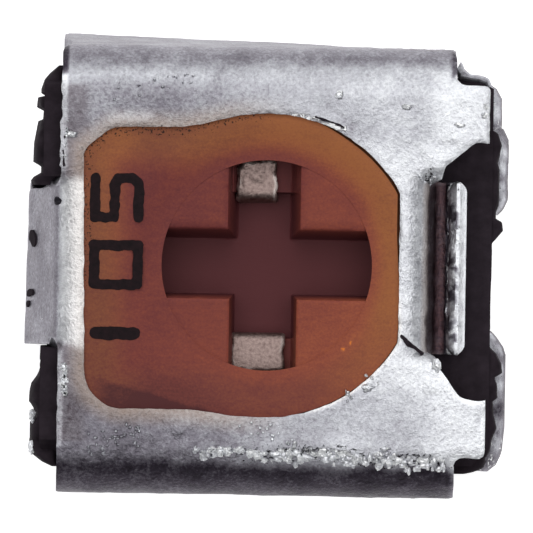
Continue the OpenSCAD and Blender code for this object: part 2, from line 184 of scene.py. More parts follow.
def trimmed_grid(x_range, y_range, step, outline):
    """Square cells where the outline is negative, with the corners near the edge moved onto it.

    A cell with one corner outside becomes a triangle. Gives the points, the faces as arrays of
    4 and of 3, and the edges of the rim in the faces' own direction.
    """
    xs = np.arange(x_range[0] - step, x_range[1] + 2 * step, step)
    ys = np.arange(y_range[0] - step, y_range[1] + 2 * step, step)
    x, y = (a.ravel() for a in np.meshgrid(xs, ys, indexing="ij"))
    inside = outline(x, y) <= step / 2
    index = np.arange(len(x)).reshape(len(xs), len(ys))
    cells = np.stack([index[:-1, :-1], index[1:, :-1], index[1:, 1:], index[:-1, 1:]], -1).reshape(-1, 4)
    kept = inside[cells]
    quads = cells[kept.sum(1) == 4]
    three = kept.sum(1) == 3
    gone = np.argmin(kept[three], axis=1)
    turn = (gone[:, None] + np.arange(1, 4)) % 4
    tris = np.take_along_axis(cells[three], turn, axis=1)

    edges = np.concatenate([quads[:, [k, (k + 1) % 4]] for k in range(4)]
                           + [tris[:, [k, (k + 1) % 3]] for k in range(3)])
    forth = edges[:, 0] * len(x) + edges[:, 1]
    back = edges[:, 1] * len(x) + edges[:, 0]
    rim = edges[~np.isin(forth, back)]
    near = np.abs(outline(x, y)) <= step / 2
    near[rim.ravel()] = True
    for _ in range(4):
        d = np.where(near, outline(x, y), 0)
        e = step / 20
        slope_x = (outline(x + e, y) - outline(x - e, y)) / (2 * e)
        slope_y = (outline(x, y + e) - outline(x, y - e)) / (2 * e)
        steep = np.maximum(slope_x**2 + slope_y**2, 0.25)
        x, y = x - d * slope_x / steep, y - d * slope_y / steep

    used = np.unique(np.concatenate([quads.ravel(), tris.ravel()]))
    place = np.zeros(len(x), int)
    place[used] = np.arange(len(used))
    return x[used], y[used], place[quads], place[tris], place[rim]


def shell(upper, lower, quads, tris, rim):
    """Closed shell: two faces on one grid, and a wall between them round the rim."""
    n = len(upper)
    wall = np.stack([rim[:, 1], rim[:, 0], rim[:, 0] + n, rim[:, 1] + n], -1)
    faces = [*quads.tolist(), *(quads[:, ::-1] + n).tolist(), *wall.tolist(),
             *tris.tolist(), *(tris[:, ::-1] + n).tolist()]
    return np.concatenate([upper, lower]), faces


def even_wear(u, v):
    """Plain rounding of a sheet's edge: its width in mm, and the share of the thickness lost there."""
    return 0.03, 0.4


def no_wear(u, v):
    """Edge that is left square."""
    return 0.03, 0.0


def no_lumps(u, v):
    """Face that is left smooth."""
    return 0.0 * u


def level_at(z):
    """Flat face at one height, in the form that a slab asks for."""
    def face(x, y, depth):
        """The same height everywhere."""
        return z

    return face


def with_normal(middle, u, v):
    """Points of a middle surface, and its normals: the cross product of two small steps on it."""
    e = 0.002
    normal = np.cross(middle(u + e, v) - middle(u - e, v), middle(u, v + e) - middle(u, v - e))
    return middle(u, v), normal / np.linalg.norm(normal, axis=1, keepdims=True)


def formed_sheet(x_range, y_range, step, outline, middle, thick, lumps, wear=even_wear):
    """Sheet of even thickness on a middle surface, with its edges rounded off.

    The middle surface is a function of the flat blank. Half the thickness is set off along its
    normal on both sides, less the wear towards the edge. Lumps are set off further on the upper side.
    """
    u, v, quads, tris, rim = trimmed_grid(x_range, y_range, step, outline)
    centre, normal = with_normal(middle, u, v)
    edge, lost = wear(u, v)
    depth = np.clip(-outline(u, v) / edge, 0, 1)
    half = thick / 2 * (1 - lost * (1 - depth) ** 2)
    raised = half + lumps(u, v) * depth
    upper = centre + normal * raised[:, None]
    lower = centre - normal * half[:, None]
    verts, faces = shell(upper, lower, quads, tris, rim)
    return verts, faces, np.tile(u, 2), np.tile(v, 2)


def slab(x_range, y_range, step, outline, top, bottom):
    """Upright slab inside an outline: top and bottom are heights by x, y and distance from the edge."""
    x, y, quads, tris, rim = trimmed_grid(x_range, y_range, step, outline)
    depth = np.maximum(-outline(x, y), 0)
    upper = np.stack([x, y, np.broadcast_to(top(x, y, depth), x.shape)], -1)
    lower = np.stack([x, y, np.broadcast_to(bottom(x, y, depth), x.shape)], -1)
    return shell(upper, lower, quads, tris, rim)


def lathe(profile, count=128):
    """Closed ring: a closed profile of r and z, turned about the Z axis."""
    r, z = np.array(profile).T
    a = np.linspace(0, 2 * math.pi, count, endpoint=False)[:, None]
    verts = np.stack(np.broadcast_arrays(np.cos(a) * r, np.sin(a) * r, z), -1).reshape(-1, 3)
    i, j = np.meshgrid(np.arange(count), np.arange(len(r)), indexing="ij")
    i2, j2 = (i + 1) % count, (j + 1) % len(r)
    quads = np.stack([i * len(r) + j, i2 * len(r) + j, i2 * len(r) + j2, i * len(r) + j2], -1)
    return verts, quads.reshape(-1, 4).tolist()


def loft(rings):
    """Closed shell through rings of points, in rows of one length, with a flat cap at each end."""
    rows, count = rings.shape[:2]
    i, j = np.meshgrid(np.arange(rows - 1), np.arange(count), indexing="ij")
    j2 = (j + 1) % count
    quads = np.stack([i * count + j, i * count + j2, (i + 1) * count + j2, (i + 1) * count + j], -1)
    first, last = np.arange(count)[::-1], np.arange(count) + (rows - 1) * count
    return rings.reshape(-1, 3), quads.reshape(-1, 4).tolist() + [first.tolist(), last.tolist()]


def outward(verts, faces):
    """The same shell with its faces turned outwards: turned round if its volume comes out negative."""
    corners = np.array([face[:3] for face in faces] + [[f[0], f[2], f[3]] for f in faces if len(f) == 4])
    a, b, c = (verts[corners[:, k]] for k in range(3))
    volume = np.einsum("ij,ij->", a, np.cross(b, c))
    return verts, faces if volume > 0 else [face[::-1] for face in faces]


def joined(*shells):
    """Several shells as one mesh: the points in a row, and each shell's faces moved along."""
    counts = np.cumsum([0] + [len(s[0]) for s in shells])
    faces = [[i + start for i in face] for s, start in zip(shells, counts) for face in s[1]]
    return np.concatenate([s[0] for s in shells]), faces


def linked(name, data):
    """New object in the scene."""
    obj = bpy.data.objects.new(name, data)
    bpy.context.scene.collection.objects.link(obj)
    return obj


def dressed(name, mesh, material, body, slot, nodes, sharp=40):
    """New object of the part from its mesh: smooth, but with edges over that angle left sharp."""
    mesh.shade_smooth()
    mesh.set_sharp_from_angle(angle=math.radians(sharp))
    mesh.materials.clear()
    mesh.materials.append(material)
    obj = linked(name, mesh)
    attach(obj, body)
    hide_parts(*nodes)


def piece(name, verts, faces, material, body, slot, nodes=(), marks=None):
    """New piece of the part, from points in mm, with named values on its points."""
    mesh = bpy.data.meshes.new(name)
    mesh.from_pydata((verts * MM).tolist(), [], faces)
    for mark, values in (marks or {}).items():
        mesh.attributes.new(mark, "FLOAT", "POINT").data.foreach_set("value", values.astype(np.float32))
    dressed(name, mesh, material, body, slot, nodes)


# Materials


def linear(hex_colour):
    """Linear colour of an sRGB hex value."""
    srgb = [int(hex_colour[k:k + 2], 16) / 255 for k in (1, 3, 5)]
    return [c / 12.92 if c <= 0.04045 else ((c + 0.055) / 1.055) ** 2.4 for c in srgb] + [1.0]


def per_mm(size):
    """Texture scale at which one feature measures size mm."""
    return 1 / (size * MM)


def new_material(name):
    """Empty material, with its tree, its shader and its Object coordinates."""
    material = bpy.data.materials.new(name)
    material.use_nodes = True
    tree = material.node_tree
    shader = tree.nodes["Principled BSDF"]
    coords = tree.nodes.new("ShaderNodeTexCoord").outputs["Object"]
    return material, tree, shader, coords


def add(tree, kind, inputs=None, stops=None, out=0, **settings):
    """Adds a node: its settings, its inputs as values or links, and a ramp's stops. Gives an output."""
    node = tree.nodes.new(kind)
    for key, value in settings.items():
        setattr(node, key, value)
    for key, value in (inputs or {}).items():
        if isinstance(value, bpy.types.NodeSocket):
            tree.links.new(value, node.inputs[key])
        else:
            node.inputs[key].default_value = linear(value) if isinstance(value, str) else value
    if stops:
        ramp = node.color_ramp.elements
        while len(ramp) < len(stops):
            ramp.new(0.5)
        for element, (place, colour) in zip(ramp, stops):
            element.position = place
            element.color = linear(colour)
    return node.outputs[out]


def tinned_sheet():
    """Hot-tinned sheet, weathered: blotched grey metal, with white crumbs of solder and dark pits.

    Marks on the points give the tone of the tin, which holds painted light and shade, where the
    crumbs, the pits and the rust are, and where a resin tint with a painted reflection of the amber
    lies.
    """
    material, tree, shader, coords = new_material("weathered_tinned_sheet")
    tone, flake, pit, warm, rust = (add(tree, "ShaderNodeAttribute", attribute_name=mark, out="Fac")
                                    for mark in ("tone", "flake", "pit", "warm", "rust"))
    cloud = add(tree, "ShaderNodeTexNoise", {"Vector": coords, "Scale": per_mm(0.4), "Detail": 3.0})
    blotch = add(tree, "ShaderNodeTexNoise",
                 {"Vector": coords, "Scale": per_mm(0.1), "Detail": 5.0, "Roughness": 0.65})
    speck = add(tree, "ShaderNodeTexNoise",
                {"Vector": coords, "Scale": per_mm(0.03), "Detail": 3.0, "Roughness": 0.7})
    lump = add(tree, "ShaderNodeTexNoise", {"Vector": coords, "Scale": per_mm(0.055), "Detail": 4.0,
                                            "Roughness": 0.6, "Distortion": 0.6})

    # Grey of the tin, lighter and darker in clouds, blotches and specks about the marked tone
    level = tone
    for noise, share in ((cloud, 0.3), (blotch, 0.35), (speck, 0.45)):
        level = add(tree, "ShaderNodeMath", {0: noise, 1: share, 2: level}, operation="MULTIPLY_ADD")
    level = add(tree, "ShaderNodeMath", {0: level, 1: 0.535}, operation="SUBTRACT")
    colour = add(tree, "ShaderNodeValToRGB", {"Fac": level},
                 stops=[(0.0, "#19171a"), (0.25, "#3f3943"), (0.5, "#7f7c84"), (0.75, "#bcbdc3"),
                        (1.0, "#f2f4f7")])

    # Dark pits, white crumbs and rust, where a noise rises above what their marks ask
    deep = add(tree, "ShaderNodeMath", {0: speck, 1: pit}, operation="ADD")
    deep = add(tree, "ShaderNodeMapRange", {"Value": deep, "From Min": 0.98, "From Max": 1.08})
    crumb = add(tree, "ShaderNodeMath", {0: lump, 1: flake}, operation="ADD")
    crumb = add(tree, "ShaderNodeMapRange", {"Value": crumb, "From Min": 0.98, "From Max": 1.08})
    brown = add(tree, "ShaderNodeMath", {0: speck, 1: 1.2, 2: rust}, operation="MULTIPLY_ADD")
    brown = add(tree, "ShaderNodeMapRange", {"Value": brown, "From Min": 1.1, "From Max": 1.75})
    for share, tint in ((deep, "#2a262b"), (crumb, "#f6f7f8"), (warm, "#bda68e"), (brown, "#543c3c")):
        colour = add(tree, "ShaderNodeMix", {"Factor": share, "A": colour, "B": tint},
                     data_type="RGBA", out=2)
    tree.links.new(colour, shader.inputs["Base Color"])

    # Satin where the blotches are dark and duller where they are light, with raised crumbs and sunk pits
    rough = add(tree, "ShaderNodeMapRange",
                {"Value": blotch, "From Min": 0.3, "From Max": 0.75, "To Min": 0.34, "To Max": 0.6})
    tree.links.new(rough, shader.inputs["Roughness"])
    relief = blotch
    for height, share in ((speck, 0.9), (crumb, 0.7), (deep, -1.0)):
        relief = add(tree, "ShaderNodeMath", {0: height, 1: share, 2: relief}, operation="MULTIPLY_ADD")
    bump = add(tree, "ShaderNodeBump", {"Height": relief, "Strength": 0.7, "Distance": 0.015 * MM})
    tree.links.new(bump, shader.inputs["Normal"])
    shader.inputs["Metallic"].default_value = 1.0
    return material


def amber_resin(name, painted_shade_from, painted_shade_to, deep):
    """Moulded amber thermoset: matt and grainy, and redder or yellower, lighter or sooty by its marks.

    Its colour goes over to the deep one between two heights, as painted shade down in recesses. Its
    golden mark also carries painted light and shade.
    """
    material, tree, shader, coords = new_material(name)
    golden_and_painted_light, yellow, soot = (add(tree, "ShaderNodeAttribute", attribute_name=mark, out="Fac")
                            for mark in ("golden_and_painted_light", "yellow", "soot"))
    cloud = add(tree, "ShaderNodeTexNoise", {"Vector": coords, "Scale": per_mm(0.45), "Detail": 4.0})
    stretched = add(tree, "ShaderNodeVectorMath", {0: coords, 1: (0.35, 1.0, 1.0)}, operation="MULTIPLY")
    streak = add(tree, "ShaderNodeTexNoise",
                 {"Vector": stretched, "Scale": per_mm(0.05), "Detail": 4.0, "Roughness": 0.7})
    speck = add(tree, "ShaderNodeTexNoise",
                {"Vector": coords, "Scale": per_mm(0.022), "Detail": 2.0, "Roughness": 0.7})
    level = golden_and_painted_light
    for noise, share in ((cloud, 0.25), (streak, 0.3), (speck, 0.45)):
        level = add(tree, "ShaderNodeMath", {0: noise, 1: share, 2: level}, operation="MULTIPLY_ADD")
    level = add(tree, "ShaderNodeMath", {0: level, 1: 0.5}, operation="SUBTRACT")
    colour = add(tree, "ShaderNodeValToRGB", {"Fac": level},
                 stops=[(0.0, "#52282a"), (0.3, "#703634"), (0.55, "#874436"), (0.77, "#9c543a"),
                        (0.93, "#a25a3a"), (1.0, "#d07030")])
    gold = add(tree, "ShaderNodeValToRGB", {"Fac": level},
               stops=[(0.0, "#522a2a"), (0.3, "#703c32"), (0.55, "#875036"), (0.77, "#9c5f39"),
                      (0.93, "#a3643a"), (1.0, "#da8a3e")])
    sooty = add(tree, "ShaderNodeMath", {0: speck, 1: soot}, operation="ADD")
    sooty = add(tree, "ShaderNodeMapRange", {"Value": sooty, "From Min": 0.98, "From Max": 1.1})
    # Painted shade: the colour darkens between two heights, down in recesses
    height = add(tree, "ShaderNodeSeparateXYZ", {"Vector": coords}, out="Z")
    painted_depth_shade = add(tree, "ShaderNodeMapRange",
               {"Value": height, "From Min": painted_shade_from * MM, "From Max": painted_shade_to * MM})
    for share, tint in ((yellow, gold), (sooty, "#2b1a18"), (painted_depth_shade, deep)):
        colour = add(tree, "ShaderNodeMix", {"Factor": share, "A": colour, "B": tint},
                     data_type="RGBA", out=2)
    tree.links.new(colour, shader.inputs["Base Color"])
    bump = add(tree, "ShaderNodeBump", {"Height": streak, "Strength": 0.3, "Distance": 0.008 * MM})
    tree.links.new(bump, shader.inputs["Normal"])
    shader.inputs["Roughness"].default_value = 0.6
    shader.inputs["IOR"].default_value = 1.5
    shader.inputs["Specular IOR Level"].default_value = 0.15
    return material


def blotched(name, dark, light, size, rough, metallic=0.0, bump_mm=0.004, specular=0.5,
             rim="#000000"):
    """Finish in two tones, in clouds of that size in mm, with a rim colour where that is marked."""
    material, tree, shader, coords = new_material(name)
    cloud = add(tree, "ShaderNodeTexNoise",
                {"Vector": coords, "Scale": per_mm(size), "Detail": 5.0, "Roughness": 0.6})
    colour = add(tree, "ShaderNodeValToRGB", {"Fac": cloud}, stops=[(0.3, dark), (0.7, light)])
    marked = add(tree, "ShaderNodeAttribute", attribute_name="rim", out="Fac")
    colour = add(tree, "ShaderNodeMix", {"Factor": marked, "A": colour, "B": rim},
                 data_type="RGBA", out=2)
    tree.links.new(colour, shader.inputs["Base Color"])
    spread = add(tree, "ShaderNodeMapRange",
                 {"Value": cloud, "To Min": rough - 0.15, "To Max": rough + 0.15})
    tree.links.new(spread, shader.inputs["Roughness"])
    bump = add(tree, "ShaderNodeBump", {"Height": cloud, "Strength": 0.5, "Distance": bump_mm * MM})
    tree.links.new(bump, shader.inputs["Normal"])
    shader.inputs["Metallic"].default_value = metallic
    shader.inputs["Specular IOR Level"].default_value = specular
    return material


TIN = tinned_sheet()
# Amber resin is orange at the boss's face, and darkened to brown further down, as painted shade in the
# gap round the boss
HOUSING_RESIN = amber_resin("amber_moulded_resin", BOSS_TOP - 0.08, BOSS_TOP - 0.23, "#4a2a22")
# The rotor's resin is the same in a redder shade, darkened to maroon down in the slot as painted shade
ROTOR_RESIN = amber_resin("reddish_moulded_resin", ROTOR_TOP - 0.03, ROTOR_TOP - 0.45, "#562a2d")
# Filled epoxy comes out of the mould matt and nearly black, with hardly a reflection
EPOXY = blotched("black_moulded_epoxy", "#241e23", "#322b31", 0.12, 0.75, bump_mm=0.012, specular=0.04)
# Spring alloy is dull and pinkish where it is rolled, and bright where its edges are rubbed
ALLOY = blotched("clenched_alloy_sheet", "#6d5c58", "#a3908a", 0.03, 0.45, 1.0, bump_mm=0.01,
                 rim="#e2d8d2")
# Printed ink lies thin and matt, so a little brown shows through the black
INK = blotched("printed_black_ink", "#140d10", "#261a1d", 0.05, 0.7, specular=0.1)
# Fired alumina is chalky and off-white
ALUMINA = blotched("fired_alumina", "#d8d3c6", "#efece2", 0.08, 0.6)
# Fired cermet is a sooty film with a faint gloss
CERMET = blotched("printed_cermet_film", "#1b1b1d", "#333336", 0.05, 0.5)
# Fired silver is a pale film, half metal and half glass, with a satin look
SILVER_FILM = blotched("printed_silver_film", "#84847e", "#a6a69e", 0.05, 0.45, 0.6)
# Stamped brass is yellow, with broad soft reflections
BRASS = blotched("stamped_brass", "#a98844", "#cdb06a", 0.2, 0.35, 1.0)
# Moulded silicone is dark grey and soft to look at
SILICONE = blotched("moulded_silicone", "#323234", "#434346", 0.1, 0.6)


# Cover: one folded sheet


# Part of the sheet's thickness that is left to the lumps of tin
TIN_ROOM = 0.02
# How much nearer to the middle the far side is folded than the near one
SIDE_IN = 0.105
# Folded sides, leg and lip, each as runs with a turn in degrees and its radius
SIDE_BEND = FOLD_R + SHEET / 2
TIGHT_BEND = 0.8 * SHEET
CURL_BEND = 0.153
CRIMP_DROP, CRIMP_FLAT = 0.066, 0.26
SIDE_RUNS = [(SIDE_WALL + CRIMP_DROP, -90, TIGHT_BEND), (CRIMP_FLAT, 0, 0)]
SIDE_PATH = fold_path([(0, -90, SIDE_BEND)] + SIDE_RUNS)
FLARED_PATH = fold_path([(0, -84.85, SIDE_BEND)] + SIDE_RUNS)
LEG_PATH = fold_path([(0, -68, SHEET), (0.64, -22, SHEET), (1.066, -90, SHEET), (0.33, 0, 0)])
LIP_PATH = fold_path([(0, -75, TIGHT_BEND), (0.2, 165, CURL_BEND), (0.12, 0, 0)])
SIDE_LENGTH = math.pi / 2 * SIDE_BEND + SIDE_WALL
CRIMP_LENGTH = SIDE_PATH[3]
WINDOW_UP, WINDOW_DOWN, WINDOW_LEFT = 1.27, 1.35, 1.697
WINDOW_LEAN = 0.0164
NEAR_EAR, FAR_EAR = 1.745, 1.68


def window(x, y):
    """Signed distance from the window: a disc run softly into a rounded land, cut flat at the right.

    The left edge leans a little, and the far left corner is cut off aslant.
    """
    disc = np.hypot(x, y) - WINDOW_R
    corner = np.where(y > 0, 0.1, 0.36)
    land = rectangle(x + WINDOW_LEAN * y, y, -WINDOW_LEFT, 0, -WINDOW_DOWN, WINDOW_UP, corner)
    land = -soft_union(-land, 1.882 + 0.608 * x - 0.794 * y, 0.06)
    return np.maximum(soft_union(disc, land, 0.14), x - WINDOW_FLAT)


def cover_blank(u, v):
    """Signed distance from the flat blank: channel, ears, leg, lip and crimp tabs, less the holes.

    A relief notch beside the lip is a disc, cut off by a slanting line.
    """
    out = np.where(v > 0, v + SIDE_IN, -v)
    far_round = 0.08 * smooth_step(1.95, 2.25, v) * smooth_step(2.9, 2.5, v)
    right_end = FOLD_END + np.where(v > 0, -far_round, 0.025)
    channel = rectangle(u, out, far_round - PLATE_LEFT, right_end, -9, FLAT_HALF + SIDE_LENGTH, 0.06)
    ears = rectangle(u, v, 0, PLATE_RIGHT, -NEAR_EAR, FAR_EAR, 0.05)
    slant = 0.085 * smooth_step(-1.95, -2.4, u) * smooth_step(-3.2, -2.8, u)
    leg = rectangle(u, np.where(v > 0, v + slant, -v), -LEG_FROM - LEG_PATH[3], 0, -9, LEG_HALF, 0.1)
    lip = rectangle(u, np.abs(v), 0, LIP_FROM + LIP_PATH[3], -9, LIP_HALF, 0.03)
    crimp = rectangle(np.abs(u), out, -9, CRIMP_HALF, -9, FLAT_HALF + CRIMP_LENGTH, 0.1)
    across, along = u - RELIEF[0], np.abs(v) - RELIEF[1]
    far_cut = np.maximum(np.hypot(across, along) - 0.345, 0.762 * along - 0.648 * across - 0.3)
    near_cut = np.maximum(np.hypot(across, along) - 0.4, 0.562 * along - 0.827 * across - 0.345)
    relief = np.where(v > 0, far_cut, near_cut)
    plate = soft_union(channel, ears, 0.08)
    plate = np.maximum(plate, -np.maximum(relief, LIP_HALF - np.abs(v)))
    plate = np.maximum(plate, -rectangle(u, np.abs(v), RELIEF[0] - 0.3, 3, LIP_HALF, RELIEF[1] + 0.02))
    plate = np.maximum(plate, -rectangle(u, np.abs(v), RELIEF[0] - 0.3, 3, -9, LIP_HALF))
    whole = soft_union(soft_union(plate, leg, 0.07), crimp, 0.1)
    whole = np.minimum(whole, lip)
    pinhole = np.hypot((u + 1.93) / 1.4, v - 0.57) - 0.042
    whole = np.maximum(whole, -np.minimum(window(u, v), pinhole))
    ragged = 0.025 * smooth_step(-1.8, -1.88, u) * smooth_step(0.8, 0.9, v) * (v < FLAT_HALF)
    return whole + (0.008 + ragged) * crumble(u, v, 0.09, 11)


def cover_middle(u, v):
    """Middle surface of the cover over its blank.

    Past the fold line of a side, the leg or the lip, the distance from that line is run along the
    fold's path. The far side leans out towards its left end, and the leg and the lip fade into
    the plate at their sides, as a drawn bend does.
    """
    far = v > 0
    start = np.where(far, FLAT_HALF - SIDE_IN, FLAT_HALF)
    s = np.maximum(np.abs(v) - start, 0)
    flare = np.where(far, np.clip((FOLD_END - u) / 3.6, 0, 1), 0)
    straight, flared = along_path(SIDE_PATH, s), along_path(FLARED_PATH, s)
    y = np.sign(v) * (np.minimum(np.abs(v), start) + mix(straight[0], flared[0], flare))
    z = mix(straight[1], flared[1], flare)

    leg_x, leg_z = along_path(LEG_PATH, np.maximum(-LEG_FROM - u, 0))
    bent = smooth_step(LEG_HALF + 0.1, LEG_HALF - 0.06, np.abs(v))
    bent = np.where(u < -PLATE_LEFT - 0.1, 1, bent)
    x = np.where(u < -LEG_FROM, mix(u, -LEG_FROM - leg_x, bent), u)
    x = x + 0.026 * v * smooth_step(-1.9, -2.5, u)
    z = np.where(u < -LEG_FROM, mix(z, leg_z, bent), z)

    lip_x, lip_z = along_path(LIP_PATH, np.maximum(u - LIP_FROM, 0))
    curled = smooth_step(LIP_HALF + 0.12, LIP_HALF + 0.01, np.abs(v))
    x = np.where(u > LIP_FROM, mix(u, LIP_FROM + lip_x, curled), x)
    z = np.where(u > LIP_FROM, mix(z, lip_z, curled), z)
    return np.stack([x, y, z + PLATE_MID - TIN_ROOM / 2], -1)


def near_ridge(u, v):
    """Crumbling along the start of the near fold, right of its middle, from 0 to 1."""
    wander = 0.05 * grain(u, v, 0.35, 24)
    ridge = np.exp(-(((v + 1.745 + 0.03 * u + wander) / 0.09) ** 2))
    return ridge * smooth_step(-0.7, 0.1, u) * smooth_step(1.9, 1.6, u)


def lip_bar(u, v):
    """1 on the upturned edge of the lip."""
    return smooth_step(1.98, 2.06, u) * (np.abs(v) < LIP_HALF + 0.02)


def cover_wear(u, v):
    """Rounding of the sheet's edges: fine, but full along the upturned lip."""
    return mix(0.03, 0.09, lip_bar(u, v)), mix(0.08, 0.8, lip_bar(u, v))


def cover_lumps(u, v):
    """Height of the tin over the sheet.

    Broad waves all over, rough stretches along both folds at the left, and crumbs on the near ridge,
    on the lip and at the right.
    """
    wave = 0.006 * grain(u, v, 0.3, 21) + 0.004 * crumble(u, v, 0.12, 22)
    crumbs = np.maximum(crumble(u, v, 0.1, 23), 0)
    right = smooth_step(0.6, 1.5, u) * (u < PLATE_RIGHT)
    rough = np.exp(-((segment(u, v, -1.4, 1.6, -0.5, 1.7) / 0.12) ** 2))
    rough = rough + np.exp(-((segment(u, v, -1.5, -1.75, -0.7, -1.6) / 0.12) ** 2))
    wave = wave + 0.022 * rough * crumble(u, v, 0.09, 29)
    return wave + crumbs * (0.04 * near_ridge(u, v) + 0.03 * lip_bar(u, v) + 0.014 * right)


def cover_marks(u, v, inner):
    """Marks of the tin on the blank.

    Tone is the grey level of the tin, with painted light and shade in it. Flake, pit, the warm
    tint and rust are how much white crust, pitting, resin tint with a painted reflection of the amber,
    and rust there is, from 0 to 1. Inner is 1 on the upper face, which turns inwards on the lip.
    """
    # Plate and sides: lighter to the right, darker towards the near side at the left, a painted
    # highlight on the far ridge with painted shade past it, and painted shade down the near fold
    right = smooth_step(-1.5, 1.3, u)
    tone = mix(0.525, 0.87, right) - 0.1 * smooth_step(-0.9, -1.5, v) * (1 - right)
    tone = tone - 0.12 * right * smooth_step(1.05, 1.25, np.abs(v)) * smooth_step(1.7, 1.4, u)
    far_ridge = np.exp(-(((v - 1.72) / 0.08) ** 2))
    # Painted highlight on the far ridge, and painted shade on the fold past it
    tone = tone + far_ridge * mix(0.16, 0.0, right)
    tone = mix(tone, 0.49, smooth_step(1.78, 1.92, v))
    # Painted shade down the near fold
    near_fold_painted_shade = smooth_step(-1.77, -1.88, v + 0.04 * grain(u, v, 0.2, 25))
    tone = mix(tone, mix(0.24, 0.205, right), near_fold_painted_shade)
    tone = mix(tone, 0.5, smooth_step(-2.3, -2.7, v))

    # Leg and lip: a painted highlight on the leg's bend, a bright bend on the lip, a dull slope,
    # a valley darkened by painted shade, and a blotched upturned edge
    on_leg = smooth_step(LEG_HALF + 0.08, LEG_HALF - 0.05, np.abs(v + 0.02 * grain(u, v, 0.1, 26)))
    margin = smooth_step(-1.6, -1.75, u) * (1 - on_leg) * (np.abs(v) < FLAT_HALF)
    tone = tone - 0.1 * margin
    # Painted highlight on the leg's bend
    tone = mix(tone, 0.97, on_leg * smooth_step(-1.64, -1.70, u))
    tone = mix(tone, 0.46, on_leg * smooth_step(-1.85, -1.92, u))
    on_lip = smooth_step(LIP_HALF + 0.05, LIP_HALF - 0.05, np.abs(v))
    tone = mix(tone, 0.82, on_lip * smooth_step(1.2, 1.3, u))
    tone = mix(tone, 0.64, on_lip * smooth_step(1.35, 1.46, u))
    # Painted shade darkening the lip's valley
    tone = mix(tone, mix(0.6, 0.27, smooth_step(1.62, 1.74, u)), on_lip * smooth_step(1.43, 1.53, u))
    blots = smooth_step(0.0, 0.2, crumble(u, v, 0.08, 28)) * inner
    tone = mix(tone, mix(0.92, 0.34, blots), lip_bar(u, v))

    # A painted highlight by the window's far left edge, bright sheared edges, and painted shade on the
    # sheared ends of the far side
    # Painted highlight by the window's far left edge
    shine = np.exp(-((segment(u, v, -1.45, 1.34, -1.12, 1.37) / 0.05) ** 2))
    rim = smooth_step(-1.86, -1.885, u + 0.01 * grain(u, v, 0.1, 30))
    rim = rim * smooth_step(0.8, 0.9, np.abs(v)) * (np.abs(v) < 1.72)
    cut_edge = smooth_step(-0.045, -0.015, cover_blank(u, v))
    cut_edge = cut_edge * smooth_step(1.5, 1.6, u) * (u < PLATE_RIGHT + 0.02)
    tone = tone + 0.15 * shine + 0.25 * rim + 0.2 * cut_edge * (v < -LIP_HALF)
    # Painted shade on the far side's sheared ends
    right_end = smooth_step(FOLD_END - 0.07, FOLD_END - 0.04, u) * (u < FOLD_END)
    far_end_painted_shade = smooth_step(-1.86, -1.89, u) + 0.7 * right_end
    tone = mix(tone, 0.12, far_end_painted_shade * smooth_step(1.7, 1.78, v) * smooth_step(2.3, 2.2, v))

    # White crust, with a burr at the window's far edge
    burr = np.minimum(segment(u, v, 0.21, 1.405, 0.44, 1.37), segment(u, v, 0.47, 1.335, 0.7, 1.275))
    flake = 0.29 * smooth_step(0.5, 1.6, u) * (u < PLATE_RIGHT) * (1 - far_ridge)
    flake = np.maximum(flake, 0.55 * near_ridge(u, v) * (1 - near_fold_painted_shade))
    flake = flake + 0.3 * lip_bar(u, v) + 0.2 * far_ridge * (1 - right)
    flake = flake + 0.6 * smooth_step(0.05, 0.02, burr)
    flake = np.where((u < -1.85) | (np.abs(v) > 2.2), 0.2, flake) + 0.09 * on_leg * (u < -1.66)

    # Pits, the resin's tint beside the window as a painted reflection of the amber, a painted cream
    # highlight at its near right edge, and rust in the lip's valley
    corner = smooth_step(0.1, 0.0, window(u, v)) * smooth_step(-0.7, -1.0, u) * smooth_step(0.8, 1.0, v)
    smudge = smooth_step(0.12, 0.02, np.hypot(u - 1.5, v - 0.87))
    pit = 0.24 + 0.28 * near_ridge(u, v) + 0.1 * lip_bar(u, v) + 0.1 * corner + 0.3 * smudge
    # Painted reflection of the amber on the tin beside the window
    beside = smooth_step(0.2, 0.0, window(u, v)) * smooth_step(0.4, -0.6, u)
    warm = 0.35 * np.clip(beside + 0.12 * margin, 0, 1)
    warm = warm + 0.3 * on_lip * smooth_step(1.38, 1.42, u) * (u < 1.47)
    # Painted highlight: a cream line along the window's near right edge
    painted_cream_highlight = smooth_step(0.03, 0.0, window(u, v)) * smooth_step(0.2, 0.6, u) * smooth_step(-0.2, -0.5, v)
    warm = warm + 0.3 * painted_cream_highlight
    tone = tone + 0.3 * painted_cream_highlight
    rust = 0.9 * smooth_step(1.38, 1.48, u) * smooth_step(2.02, 1.94, u) * (np.abs(v) < LIP_HALF + 0.02)
    return {"tone": tone, "flake": flake, "pit": pit, "warm": warm, "rust": rust}


def tin_marks(tone, flake, pit):
    """Marks of bare tin, without tint, painted reflection or rust."""
    none = np.zeros_like(tone)
    return {"tone": tone, "flake": flake + none, "pit": pit + none, "warm": none, "rust": none}


def make_cover():
    """Cover: its blank formed over the middle surface, and kept inside the node's box."""
    reach_u = (-LEG_FROM - LEG_PATH[3], LIP_FROM + LIP_PATH[3])
    reach_v = (-FLAT_HALF - CRIMP_LENGTH, FLAT_HALF + CRIMP_LENGTH)
    verts, faces, u, v = formed_sheet(reach_u, reach_v, 0.027, cover_blank, cover_middle,
                                      SHEET - TIN_ROOM, cover_lumps, cover_wear)
    verts = np.clip(verts, cover_low, cover_high)
    inner = np.arange(len(u)) < len(u) / 2
    marks = cover_marks(u, v, inner)
    piece("tinned_cover", verts, faces, TIN, "body", "cover", ["cover"], marks)


